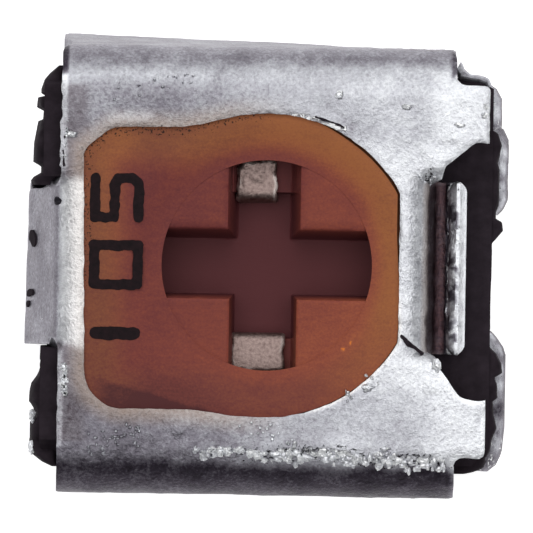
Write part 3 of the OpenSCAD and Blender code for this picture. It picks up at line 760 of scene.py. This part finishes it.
# Short cracks in the tin, a painted shadow line under the burr at the window's far edge, and spots
# on the leg, each a start and an end on the blank, and a half width
CRACKS_AND_SHADOW_LINES = [(1.265, -0.635, 1.319, -0.718, 0.014), (1.319, -0.718, 1.4, -0.79, 0.012),
          # The two strokes on this line are a painted shadow under the burr at the window's far edge
          (0.433, 1.382, 0.56, 1.345, 0.007), (0.56, 1.345, 0.694, 1.294, 0.008),
          (-1.893, 1.168, -1.856, 1.187, 0.012), (-1.905, 1.037, -1.897, 0.9, 0.011),
          (-2.46, 0.19, -2.52, 0.24, 0.055), (-2.45, -0.285, -2.54, -0.3, 0.03),
          (-2.53, -0.39, -2.55, -0.4, 0.022)]


def make_cracks_and_shadow_lines():
    """Cracks and spots of black flux, and a painted shadow line under the burr: plugs a little thicker
    than the folded sheet that they follow.
    """
    shells = []
    for u0, v0, u1, v1, half in CRACKS_AND_SHADOW_LINES:
        def outline(u, v):
            """Signed distance from one stroke, with a crumbled edge."""
            return segment(u, v, u0, v0, u1, v1) - half + 0.012 * crumble(u, v, 0.05, 27)

        margin = half + 0.02
        reach_u = (min(u0, u1) - margin, max(u0, u1) + margin)
        reach_v = (min(v0, v1) - margin, max(v0, v1) + margin)
        verts, faces, _, _ = formed_sheet(reach_u, reach_v, 0.007, outline, cover_middle, SHEET + 0.012,
                                          no_lumps, no_wear)
        shells.append((verts, faces))
    piece("flux_cracks_and_painted_burr_shadow", *joined(*shells), EPOXY, "body", "cover")


def crumb(centre, half_x, half_y, seed):
    """Crumb of solder: a low egg with a lumpy radius, in rings from its lower to its upper end."""
    tilt = np.linspace(-0.46 * math.pi, 0.46 * math.pi, 7)[:, None]
    turn = np.linspace(0, 2 * math.pi, 14, endpoint=False)[None, :]
    lumpy = np.cos(tilt) * (1 + 0.4 * grain(2 * np.cos(turn) + tilt, 2 * np.sin(turn), 0.8, seed))
    upright = 0.022 * np.sin(tilt)
    ring = np.broadcast_arrays(half_x * np.cos(turn) * lumpy, half_y * np.sin(turn) * lumpy, upright)
    return outward(*loft(centre + np.stack(ring, -1)))


# Large crumbs, each a place on the blank and a half width along X and Y
CRUMBS = [(1.594, -0.918, 0.045, 0.065), (0.652, 1.585, 0.04, 0.045), (1.275, 1.489, 0.05, 0.03),
          (-1.828, 1.187, 0.06, 0.035), (1.77, 1.33, 0.045, 0.032), (2.015, 1.511, 0.025, 0.045),
          (2.0, 1.418, 0.035, 0.033), (0.95, -1.12, 0.05, 0.04), (1.12, -1.68, 0.05, 0.03)]
# Lines of crust, each a start, an end, the spread off it, how many crumbs, and the widest's half width
CRUST = [(-0.65, -1.72, 1.7, -1.79, 0.03, 120, 0.044), (-1.5, 1.57, -0.6, 1.74, 0.05, 14, 0.02),
         (-1.65, -1.73, -1.15, -1.55, 0.045, 46, 0.022), (-1.87, -0.95, -1.85, -1.2, 0.03, 16, 0.04),
         (-1.89, 0.9, -1.87, 1.3, 0.02, 12, 0.022), (1.38, 0.88, 1.55, 0.87, 0.02, 10, 0.018),
         (0.75, -1.2, 1.05, -1.06, 0.03, 12, 0.022), (-0.25, -1.48, 0.25, -1.62, 0.04, 20, 0.02)]


def crust_places():
    """Place and half widths of each crumb: the large ones, then those strewn along the crust's lines."""
    random = np.random.default_rng(97)
    rows = [np.array(CRUMBS)]
    for u0, v0, u1, v1, spread, count, size in CRUST:
        t = random.uniform(0, 1, count)
        u = mix(u0, u1, t) + random.normal(0, 0.4 * spread, count)
        v = mix(v0, v1, t) + random.normal(0, spread, count)
        rows.append(np.column_stack([u, v, size * random.uniform(0.35, 1, (count, 2))]))
    return np.concatenate(rows).T


def make_crumbs():
    """Crumbs of solder: set on the tin along its normal, and two on the base's left face."""
    u, v, half_x, half_y = crust_places()
    centre, normal = with_normal(cover_middle, u, v)
    centre = centre + 0.082 * normal
    on_base = np.array([(-2.16, -1.435, 1.8), (-2.16, -1.732, 1.74)])
    shells = [crumb(c, a, b, 95 + k) for k, (c, a, b) in enumerate(zip(centre, half_x, half_y))]
    shells += [crumb(c, 0.033, 0.07, 90 + k) for k, c in enumerate(on_base)]
    verts, faces = joined(*shells)
    verts = np.clip(verts, cover_low, cover_high)
    bright = np.maximum(smooth_step(-1.1, -0.4, verts[:, 0]), verts[:, 0] < -1.8)
    tone = mix(0.62, 0.9, bright) + 0.15 * grain(verts[:, 0], verts[:, 1], 0.05, 94)
    marks = tin_marks(tone, mix(0.3, 0.5, bright), 0.15)
    piece("solder_crumbs", verts, faces, TIN, "body", "cover", marks=marks)


# Housing: the boss that fills the window, on the body that holds the chamber


RIM_R = 0.977
RIM_LOW = ROTOR_TOP - 0.004


def boss_outline(x, y):
    """Signed distance from the boss: the window, with a gap that opens at the right, less the bore."""
    gap = -0.012 + 0.038 * smooth_step(0.3, 0.8, x) * smooth_step(-0.4, 0.4, y)
    gap = gap + 0.018 * smooth_step(0.0, 0.4, x) * smooth_step(-0.3, -0.7, y)
    return np.maximum(window(x, y) + gap, RIM_R - np.hypot(x, y))


def boss_height(x, y, depth):
    """Land that dishes gently down to the rotor's face, rounded at the window and a little uneven."""
    dish = (BOSS_TOP - ROTOR_TOP + 0.001) * smooth_step(0.4, 0.0, np.hypot(x, y) - RIM_R)
    edge = 0.006 * (1 - np.clip(-(window(x, y) + 0.01) / 0.04, 0, 1)) ** 2
    return BOSS_TOP - dish - edge + 0.002 * crumble(x, y, 0.2, 31)


def boss_floor(x, y, depth):
    """Underside of the boss: on the body, and as a thin lip over the rotor's rim."""
    return np.where(np.hypot(x, y) < BORE_R + 0.01, RIM_LOW, BODY_TOP)


def body_outline(x, y):
    """Signed distance from the housing's body: a rounded rectangle less the bore."""
    low, high = housing_low, housing_high
    block = rectangle(x, y, low[0], high[0], low[1], high[1], HOUSING_CORNER)
    return np.maximum(block, BORE_R - np.hypot(x, y))


def body_floor(x, y, depth):
    """Underside of the body, raised to the shoulder over the rotor's chamber."""
    over = smooth_step(CHAMBER_R + 0.02, CHAMBER_R - 0.02, np.hypot(x, y))
    return mix(housing_low[2], SHOULDER_Z, over)


def rotor_gold_and_painted_light(x, y):
    """How golden the rotor is: it grows to the right and the near side, as painted light."""
    return 0.49 + 0.124 * x - 0.107 * y


def golden_and_painted_light(x, y):
    """How golden the amber is: as the rotor beside it, and further out more to the right and far side.

    The rise to the right and far side is painted light. It drops to maroon in a wedge at the lower left,
    a painted shadow, and a streak at the lower right is bright.
    """
    # Painted light: lighter towards the right and the far side
    outer = 0.58 + 0.19 * x + 0.13 * y + 0.2 * smooth_step(-1.05, -1.4, x)
    outer = outer + 0.04 * smooth_step(0.2, -0.8, y) * smooth_step(0.1, -0.5, x)
    outer = outer - 0.05 * smooth_step(-0.9, -1.2, y) * smooth_step(0.9, 0.3, x)
    outer = np.minimum(outer, 0.77)
    share = smooth_step(0.6, 0.2, -window(x, y)) * smooth_step(0.95, 1.15, np.hypot(x, y))
    # Painted shadow: a maroon wedge along the window's lower left
    below = -1.064 - 0.276 * (x + 1.578) - y + 0.02 * crumble(x, y, 0.12, 32)
    painted_shadow_wedge = 0.33 * smooth_step(-0.02, 0.03, below) * smooth_step(-1.62, -1.4, x)
    fleck = np.minimum(segment(x, y, 0.803, -0.645, 0.788, -0.71), np.hypot(x - 0.728, y + 0.766))
    fleck = 0.45 * smooth_step(0.028, 0.005, fleck + 0.02 * grain(x, y, 0.04, 33))
    return mix(rotor_gold_and_painted_light(x, y), outer, share) - painted_shadow_wedge + fleck


def make_housing():
    """Housing: the boss, with its thin lip over the rotor's rim, on the body."""
    spread = (housing_low[0], housing_high[0])
    across = (housing_low[1], housing_high[1])
    boss = slab(spread, across, 0.02, boss_outline, boss_height, boss_floor)
    body = slab(spread, across, 0.04, body_outline, level_at(BODY_TOP), body_floor)
    verts, faces = joined(boss, body)
    x, y = verts[:, 0], verts[:, 1]
    soot = 0.2 + 0.26 * smooth_step(-0.22, -0.02, window(x, y)) * smooth_step(-0.2, 0.4, y - x - 1.2)
    soot = soot + 0.14 * np.exp(-(((x + 1.08) / 0.15) ** 2) - ((y - 0.6) / 0.45) ** 2)
    less = smooth_step(-0.3, -1.2, y) * smooth_step(-1.4, -1.0, x)
    yellow = smooth_step(0.5, 0.12, -window(x, y)) * mix(1, 0.45, less)
    yellow = yellow * smooth_step(0.95, 1.15, np.hypot(x, y))
    marks = {"golden_and_painted_light": golden_and_painted_light(x, y), "yellow": yellow, "soot": soot}
    piece("amber_housing", verts, faces, HOUSING_RESIN, "body", "housing", ["housing"], marks)


# Value code, printed in ink on the land


DIGIT_H, DIGIT_W = 0.5, 0.46
STROKE = 0.095
CODE_X = -1.4


def strokes(x, y, low, pairs):
    """Distance from a digit drawn in straight strokes, with its top to the left and its foot at low.

    Each stroke joins two points of the digit's box, from 0 to 1 across and up.
    """
    wide, tall = DIGIT_W - STROKE, DIGIT_H - STROKE
    top = CODE_X + tall / 2
    return np.minimum.reduce([
        segment(x, y, top - tall * b, low + wide * a, top - tall * d, low + wide * c)
        for (a, b), (c, d) in pairs])


def code_outline(x, y):
    """Signed distance from the printed digits 1, 0 and 5."""
    one = strokes(x, y, -0.652, [((0, 0.07), (0, 0.93))]) - 0.015
    ring = [(0, 0), (1, 0), (1, 1), (0, 1), (0, 0)]
    zero = strokes(x, y, -0.2, zip(ring, ring[1:]))
    hook = [(0, 0), (0.85, 0), (1, 0.15), (1, 0.45), (0.85, 0.55), (0, 0.55), (0, 1), (1, 1)]
    five = strokes(x, y, 0.425, zip(hook, hook[1:]))
    nearest = np.minimum(np.minimum(one, zero), five)
    return nearest - STROKE / 2 + 0.012 * crumble(x, y, 0.06, 41)


def make_code():
    """Value code: ink that stands a little above the land, and reaches down into it."""
    top, bottom = level_at(BOSS_TOP + 0.004), level_at(BOSS_TOP - 0.02)
    verts, faces = slab((-1.75, -1.05), (-0.8, 0.95), 0.012, code_outline, top, bottom)
    piece("value_code", verts, faces, INK, "body", "housing")


# Rotor: slotted disc on a neck and a flange


SLOT_SHIFT = -0.03
FLANGE_R, FLANGE_T = 1.06, 0.16
NECK_R, SHAFT_HOLE = 0.85, 0.3


def disc_outline(x, y):
    """Signed distance from the rotor's round disc."""
    return np.hypot(x, y) - ROTOR_R


def cross_slot(x, y):
    """Signed distance from the cross slot: to the nearer of its two arms, with worn edges."""
    arms = np.minimum(np.abs(x - SLOT_SHIFT), np.abs(y)) - SLOT_HALF + 0.01
    return arms + 0.005 * crumble(x, y, 0.12, 51)


def rotor_face(x, y, depth):
    """Face of the disc, worn over into the cross slot, whose ends along Y have a raised ledge.

    The far edges are worn wider than the near ones, and the rim drops under the housing's lip.
    """
    ledge = (np.abs(x - SLOT_SHIFT) < SLOT_HALF) & (np.abs(y) > LEDGE_FROM)
    floor = np.where(ledge, LEDGE_Z, SLOT_FLOOR)
    slot = cross_slot(x, y)
    worn = 0.04 * (1 - np.clip(slot / mix(0.05, 0.15, smooth_step(-0.2, 0.2, y)), 0, 1)) ** 2
    rim = 0.004 * smooth_step(RIM_R - 0.02, RIM_R, np.hypot(x, y))
    land = ROTOR_TOP - 0.003 - worn - rim + 0.002 * crumble(x, y, 0.2, 52)
    soft = mix(0.022, 0.05, smooth_step(-0.2, 0.2, y))
    return mix(floor, land, smooth_step(-soft, soft, slot))


def make_rotor():
    """Rotor: the slotted disc, and the neck and flange below it turned from one profile."""
    reach = (-ROTOR_R, ROTOR_R)
    disc = slab(reach, reach, 0.0125, disc_outline, rotor_face, level_at(NECK_TOP))
    low, flange_top = rotor_low[2], rotor_low[2] + FLANGE_T
    shaft = lathe([(SHAFT_HOLE, low), (FLANGE_R, low), (FLANGE_R, flange_top),
                   (NECK_R, flange_top), (NECK_R, NECK_TOP), (SHAFT_HOLE, NECK_TOP)])
    verts, faces = joined(disc, shaft)
    none = np.zeros(len(verts))
    x, y = verts[:, 0], verts[:, 1]
    # Painted shade on the land beside the slot's far side, taken off its golden mark
    shade = 0.12 * smooth_step(0.14, 0.0, cross_slot(x, y)) * smooth_step(-0.2, 0.2, y)
    marks = {"golden_and_painted_light": rotor_gold_and_painted_light(x, y) - shade, "yellow": none, "soot": none}
    piece("slotted_rotor", verts, faces, ROTOR_RESIN, "rotor", "rotor", ["rotor"], marks)


# Wiper spring: its plate below the rotor, and the two clench tabs in the slot's ends


SPRING_HOLE, SPRING_R = 0.27, 1.0


def clench_tab(side, x0, x1, y_in, y_out):
    """One clench tab: a strip that rises through the rotor and lies outwards on the ledge.

    The far tab has one corner clipped.
    """
    rise = LEDGE_Z - rotor_low[2] + 0.02
    bend = 0.06
    path = fold_path([(rise, -90, bend), (y_out - y_in - bend, 0, 0)])

    def outline(u, v):
        """Signed distance from the flat tab: a rectangle cut by a slanting line, with a worn edge."""
        clipped = (v - path[3] - u + x0 + 0.04 * (1 + side)) / math.sqrt(2)
        tab = np.maximum(rectangle(u, v, x0, x1, 0, path[3], 0.03), clipped)
        return tab + 0.02 * crumble(u, v, 0.08, 61 + side)

    def middle(u, v):
        """The tab's width runs along X, and its length along the path: up, then outwards in Y."""
        up, out = along_path(path, v)
        return np.stack([u, side * (y_in + 0.03 - out), rotor_low[2] - 0.04 + up], -1)

    def lumps(u, v):
        """Hammered face: noise with its hollows cut short."""
        return 0.022 * np.maximum(crumble(u, v, 0.09, 64 + side), -0.3)

    verts, faces, u, v = formed_sheet((x0, x1), (0, path[3]), 0.015, outline, middle, SPRING_T, lumps)
    rim = smooth_step(-0.04, -0.005, outline(u, v)) * smooth_step(-0.1, 0.2, crumble(u, v, 0.05, 66))
    return outward(verts, faces), rim


def make_wiper():
    """Wiper spring: a flat ring turned from its section, and two tabs."""
    top, low = rotor_low[2], rotor_low[2] - SPRING_T
    plate = lathe([(SPRING_HOLE, low), (SPRING_R, low), (SPRING_R, top), (SPRING_HOLE, top)])
    far_tab, far_rim = clench_tab(1, -0.29, 0.085, 0.6, 0.945)
    near_tab, near_rim = clench_tab(-1, -0.325, 0.18, 0.635, 0.955)
    marks = {"rim": np.concatenate([np.zeros(len(plate[0])), far_rim, near_rim])}
    piece("wiper_spring_tabs", *joined(plate, far_tab, near_tab), ALLOY, "rotor", "wiper",
          ["wiper_spring"], marks)


# Base and end terminals


BASE_LEFT = 2.09
CORNER_SLOPE = 0.45
# Far left corner: the x from which it slants, its y there, and the slant
SLANT_X, SLANT_Y, SLANT = -1.985, 1.82, 1.05


def make_base():
    """Moulded base: the frame's own solid, merged, pulled in at the left face and the far corners."""
    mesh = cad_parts["base"].data.copy()
    solid = bmesh.new()
    solid.from_mesh(mesh)
    bmesh.ops.remove_doubles(solid, verts=solid.verts, dist=0.002 * MM)
    bmesh.ops.dissolve_limit(solid, angle_limit=math.radians(1), verts=solid.verts, edges=solid.edges)
    solid.to_mesh(mesh)
    solid.free()
    points = np.zeros(len(mesh.vertices) * 3, np.float32)
    mesh.vertices.foreach_get("co", points)
    points = points.reshape(-1, 3)
    points[:, 0] = np.maximum(points[:, 0], -BASE_LEFT * MM)
    corner = base_high[1] * MM - CORNER_SLOPE * np.maximum(points[:, 0] - FOLD_END * MM, 0)
    left_corner = SLANT_Y * MM - SLANT * np.maximum(SLANT_X * MM - points[:, 0], 0)
    left_corner = np.where(points[:, 0] < -1.9 * MM, left_corner, base_high[1] * MM)
    points[:, 1] = np.minimum(points[:, 1], np.minimum(corner, left_corner))
    mesh.vertices.foreach_set("co", points.ravel())
    dressed("moulded_base", mesh, EPOXY, "body", "base", ["base"], 30)


def flash_strip(points, inner, low, high, seed):
    """Lumpy flash along a face of the base: rings across Y, from the inner x out to the points.

    Each point is y and the reach in x there. A ring is a squared oval between the inner x and the
    reach, and noise draws it in between its highest and lowest place.
    """
    ys, reach = np.array(sorted(points)).T
    y = np.linspace(ys[0], ys[-1], 240)[:, None]
    a = np.linspace(0, 2 * math.pi, 40, endpoint=False)[None, :]
    out = np.interp(y, ys, reach)
    across = np.sign(np.cos(a)) * np.abs(np.cos(a)) ** 0.5
    upright = np.sign(np.sin(a)) * np.abs(np.sin(a)) ** 0.5
    z = (low + high) / 2 + (high - low) / 2 * upright * (1 + 0.08 * grain(y, 0 * y, 0.12, seed))
    drawn_in = 0.15 * np.maximum(crumble(y + 0 * a, z, 0.16, seed + 1), 0)
    x = inner + (out - inner) * (0.5 + 0.5 * across) * (1 - drawn_in)
    return outward(*loft(np.stack(np.broadcast_arrays(x, y, z), -1)))


# Edges of the flash, each point a y and the reach in x there
LEFT_FAR_FLASH = [(1.83, -1.97), (1.76, -2.05), (1.70, -2.10), (1.61, -2.13), (1.57, -2.13),
                  (1.55, -2.08), (1.53, -2.16), (1.44, -2.17), (1.41, -2.11), (1.33, -2.11),
                  (1.31, -2.155), (1.11, -2.19), (0.93, -2.195), (0.90, -2.14), (0.885, -2.12),
                  (0.83, -2.12), (0.79, -2.19), (0.755, -2.215), (0.715, -2.2)]
LEFT_NEAR_FLASH = [(-0.78, -2.1), (-1.02, -2.11), (-1.06, -2.13), (-1.13, -2.18), (-1.2, -2.195),
                   (-1.3, -2.2), (-1.36, -2.16), (-1.42, -2.15), (-1.5, -2.19), (-1.72, -2.19),
                   (-1.8, -2.15), (-1.86, -2.07), (-1.9, -1.98)]
RIGHT_FLASH = [(1.68, 2.06), (1.3, 2.08), (1.27, 2.14), (1.15, 2.18), (1.06, 2.16), (0.99, 2.14),
               (0.92, 2.16), (0.6, 2.155), (0.53, 2.13), (0.47, 2.13), (0.44, 2.19), (0.36, 2.2),
               (0.3, 2.15), (0.24, 2.1), (-0.55, 2.095), (-0.68, 2.08), (-0.725, 2.09), (-0.79, 2.16),
               (-0.88, 2.205), (-0.97, 2.215), (-1.01, 2.145), (-1.07, 2.17), (-1.2, 2.175),
               (-1.235, 2.13), (-1.36, 2.14), (-1.48, 2.17), (-1.59, 2.125), (-1.7, 2.11),
               (-1.755, 2.08)]
CORNER_FLASH = [(-1.66, 2.06), (-1.8, 2.075), (-1.85, 2.06), (-1.88, 2.01), (-1.9, 1.95), (-1.915, 1.88)]


def make_flash():
    """Flash of the moulding: two strips at the left, one at the right and one in its near corner."""
    far = flash_strip(LEFT_FAR_FLASH, -1.9, 0.3, 1.9, 81)
    near = flash_strip(LEFT_NEAR_FLASH, -1.9, 0.3, 1.85, 83)
    right = flash_strip(RIGHT_FLASH, 2.0, 1.12, 1.55, 85)
    corner = flash_strip(CORNER_FLASH, 1.62, 0.9, 1.5, 87)
    piece("moulding_flash", *joined(far, near, right, corner), EPOXY, "body", "base")


# Outer edges of the two hooks, each point a distance from the middle and the reach in x there
FAR_HOOK = [(0.54, 2.15), (0.585, 2.2), (0.645, 2.245), (1.235, 2.245), (1.265, 2.2), (1.29, 2.178),
            (1.605, 2.174), (1.635, 2.135), (1.695, 2.045)]
NEAR_HOOK = [(0.61, 2.108), (0.677, 2.174), (0.787, 2.25), (1.47, 2.25), (1.7, 2.228), (1.81, 2.175),
             (1.85, 2.09)]


def make_terminal(side, node):
    """End terminal: a J-hook strip from the substrate out, down and under, with an uneven edge."""
    from_x, fold = 1.45, 0.16
    foot = 0.36
    reach = terminal_high[0] - TERMINAL_T / 2
    mid_z = terminal_high[2] - TERMINAL_T / 2
    path = fold_path([(reach - fold - from_x, -90, fold),
                      (mid_z - TERMINAL_T / 2 - 2 * fold, -90, fold), (foot, 0, 0)])
    place, outer = np.array(FAR_HOOK if side > 0 else NEAR_HOOK).T
    near, far = place[0], place[-1]

    def outline(u, v):
        """Signed distance from the flat strip, with a worn edge."""
        return rectangle(u, v, 0, path[3], near, far, 0.03) + 0.01 * crumble(u, v, 0.1, 71 + side)

    def middle(u, v):
        """The strip's length runs along the path in X and Z, drawn back to the hook's edge."""
        x, z = along_path(path, u)
        x = x - (terminal_high[0] - np.interp(v, place, outer)) * smooth_step(0.4, 0.7, x)
        return np.stack([from_x + x, side * v, mid_z + z], -1)

    def lumps(u, v):
        """Solder face: noise with its tops cut short."""
        return 0.02 * np.minimum(crumble(u, v, 0.12, 75 + side), 0.2)

    reach_u, reach_v = (0, path[3]), (near, far)
    verts, faces, u, v = formed_sheet(reach_u, reach_v, 0.027, outline, middle, TERMINAL_T, lumps)
    verts[:, 0] = np.minimum(verts[:, 0], terminal_high[0])
    verts[:, 2] = np.maximum(verts[:, 2], 0)
    end = smooth_step(1.24, 1.32, v) if side > 0 else smooth_step(1.5, 1.6, v)
    tone = 0.46 + 0.2 * end + 0.5 * crumble(u, v, 0.12, 77)
    tone = mix(tone, 0.2, smooth_step(0.16, 0.24, u - (reach - fold - from_x)))
    marks = tin_marks(tone, 0.2 + 0.2 * end, 0.38)
    piece(node + "_strip", *outward(verts, faces), TIN, "body", "terminals", [node], marks)


def make_corner_web():
    """Web of solder round the far right corner: an oval ring carried along a short bowed path."""
    route = np.array([(1.751, 1.878, 1.6), (1.789, 1.812, 1.58), (1.855, 1.78, 1.56),
                      (1.948, 1.769, 1.54), (2.023, 1.743, 1.52), (2.052, 1.678, 1.5)])
    t = np.linspace(0, 1, 48)
    knots = np.linspace(0, 1, len(route))
    centre = np.stack([np.interp(t, knots, route[:, k]) for k in range(3)], -1)
    a = np.linspace(0, 2 * math.pi, 16, endpoint=False)
    wide = (mix(0.055, 0.035, smooth_step(0.0, 0.5, t)) + 0.005 * grain(t, 0 * t, 0.1, 91))[:, None]
    ring = np.stack(np.broadcast_arrays(0.5 * wide * np.cos(a), wide * np.cos(a), 0.08 * np.sin(a)), -1)
    verts, faces = outward(*loft(centre[:, None, :] + ring))
    marks = tin_marks(np.full(len(verts), 0.62), 0.3, 0.2)
    piece("corner_solder", verts, faces, TIN, "body", "terminals", marks=marks)


make_cover()
make_cracks_and_shadow_lines()
make_crumbs()
make_housing()
make_code()
make_rotor()
make_wiper()
make_base()
make_flash()
make_terminal(-1, "end_terminal_1")
make_terminal(1, "end_terminal_3")
make_corner_web()

# Inner solids of the frame that stay, each with its own finish
for inner, finish in {
    "substrate": ALUMINA,
    "resistance_track": CERMET,
    "end_conductor_1": SILVER_FILM,
    "end_conductor_3": SILVER_FILM,
    "collector_rivet": BRASS,
    "collector_strap": BRASS,
    "rotor_seal": SILICONE,
}.items():
    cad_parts[inner].data.materials.clear()
    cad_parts[inner].data.materials.append(finish)


# Stage, light and camera


IMAGE_SIDE, PIXELS_PER_MM = 533, 107.78
CAMERA_ROLL = 0.95


def make_floor():
    """White floor: a wide disc, white to the eye and to metal, that keeps a soft shadow."""
    material, tree, shader, _ = new_material("matt_white_floor")
    shader.inputs["Base Color"].default_value = linear("#e8e8e8")
    shader.inputs["Roughness"].default_value = 0.9
    shown = add(tree, "ShaderNodeLightPath", out="Is Camera Ray")
    for other in ("Is Glossy Ray", "Is Transmission Ray"):
        ray = add(tree, "ShaderNodeLightPath", out=other)
        shown = add(tree, "ShaderNodeMath", {0: shown, 1: ray}, operation="MAXIMUM")
    tree.links.new(shown, shader.inputs["Emission Strength"])
    shader.inputs["Emission Color"].default_value = linear("#e6e6e6")
    verts, faces = lathe([(0, -0.3), (400, -0.3), (400, -0.003), (0, -0.003)], 64)
    mesh = bpy.data.meshes.new("floor")
    mesh.from_pydata((verts * MM).tolist(), [], faces)
    mesh.materials.append(material)
    floor = linked("floor", mesh)


def make_lamp(name, place, size, radiance):
    """Square soft lamp that faces the part. Its power is the radiance times its area times pi."""
    lamp = bpy.data.lights.new(name, "AREA")
    lamp.size = size
    lamp.energy = radiance * size**2 * math.pi
    obj = linked(name, lamp)
    obj.location = place
    obj.rotation_euler = (-Vector(place)).to_track_quat("-Z", "Y").to_euler()


def make_camera():
    """Camera straight above, some thirty widths of the part away, rolled by about a degree."""
    distance = 0.15
    view = IMAGE_SIDE / PIXELS_PER_MM * MM
    camera = bpy.data.cameras.new("camera")
    camera.lens = camera.sensor_width * distance / view
    camera.clip_start = 0.001
    obj = linked("camera", camera)
    obj.location = (-0.002 * MM, -0.01 * MM, distance + TOP_Z * MM)
    obj.rotation_euler = (0, 0, math.radians(CAMERA_ROLL))
    bpy.context.scene.camera = obj


make_floor()
make_lamp("soft_box_above", (0, 0.06, 0.3), 0.5, 1.5)
make_lamp("soft_box_far_side", (0, 0.35, 0.2), 0.3, 1.2)
make_camera()
world = bpy.data.worlds.new("dim_room")
bpy.context.scene.world = world
world.use_nodes = True
world.node_tree.nodes["Background"].inputs["Color"].default_value = linear("#d8d8dc")
world.node_tree.nodes["Background"].inputs["Strength"].default_value = 0.16
bpy.context.scene.view_settings.view_transform = "Standard"

bpy.context.view_layer.update()
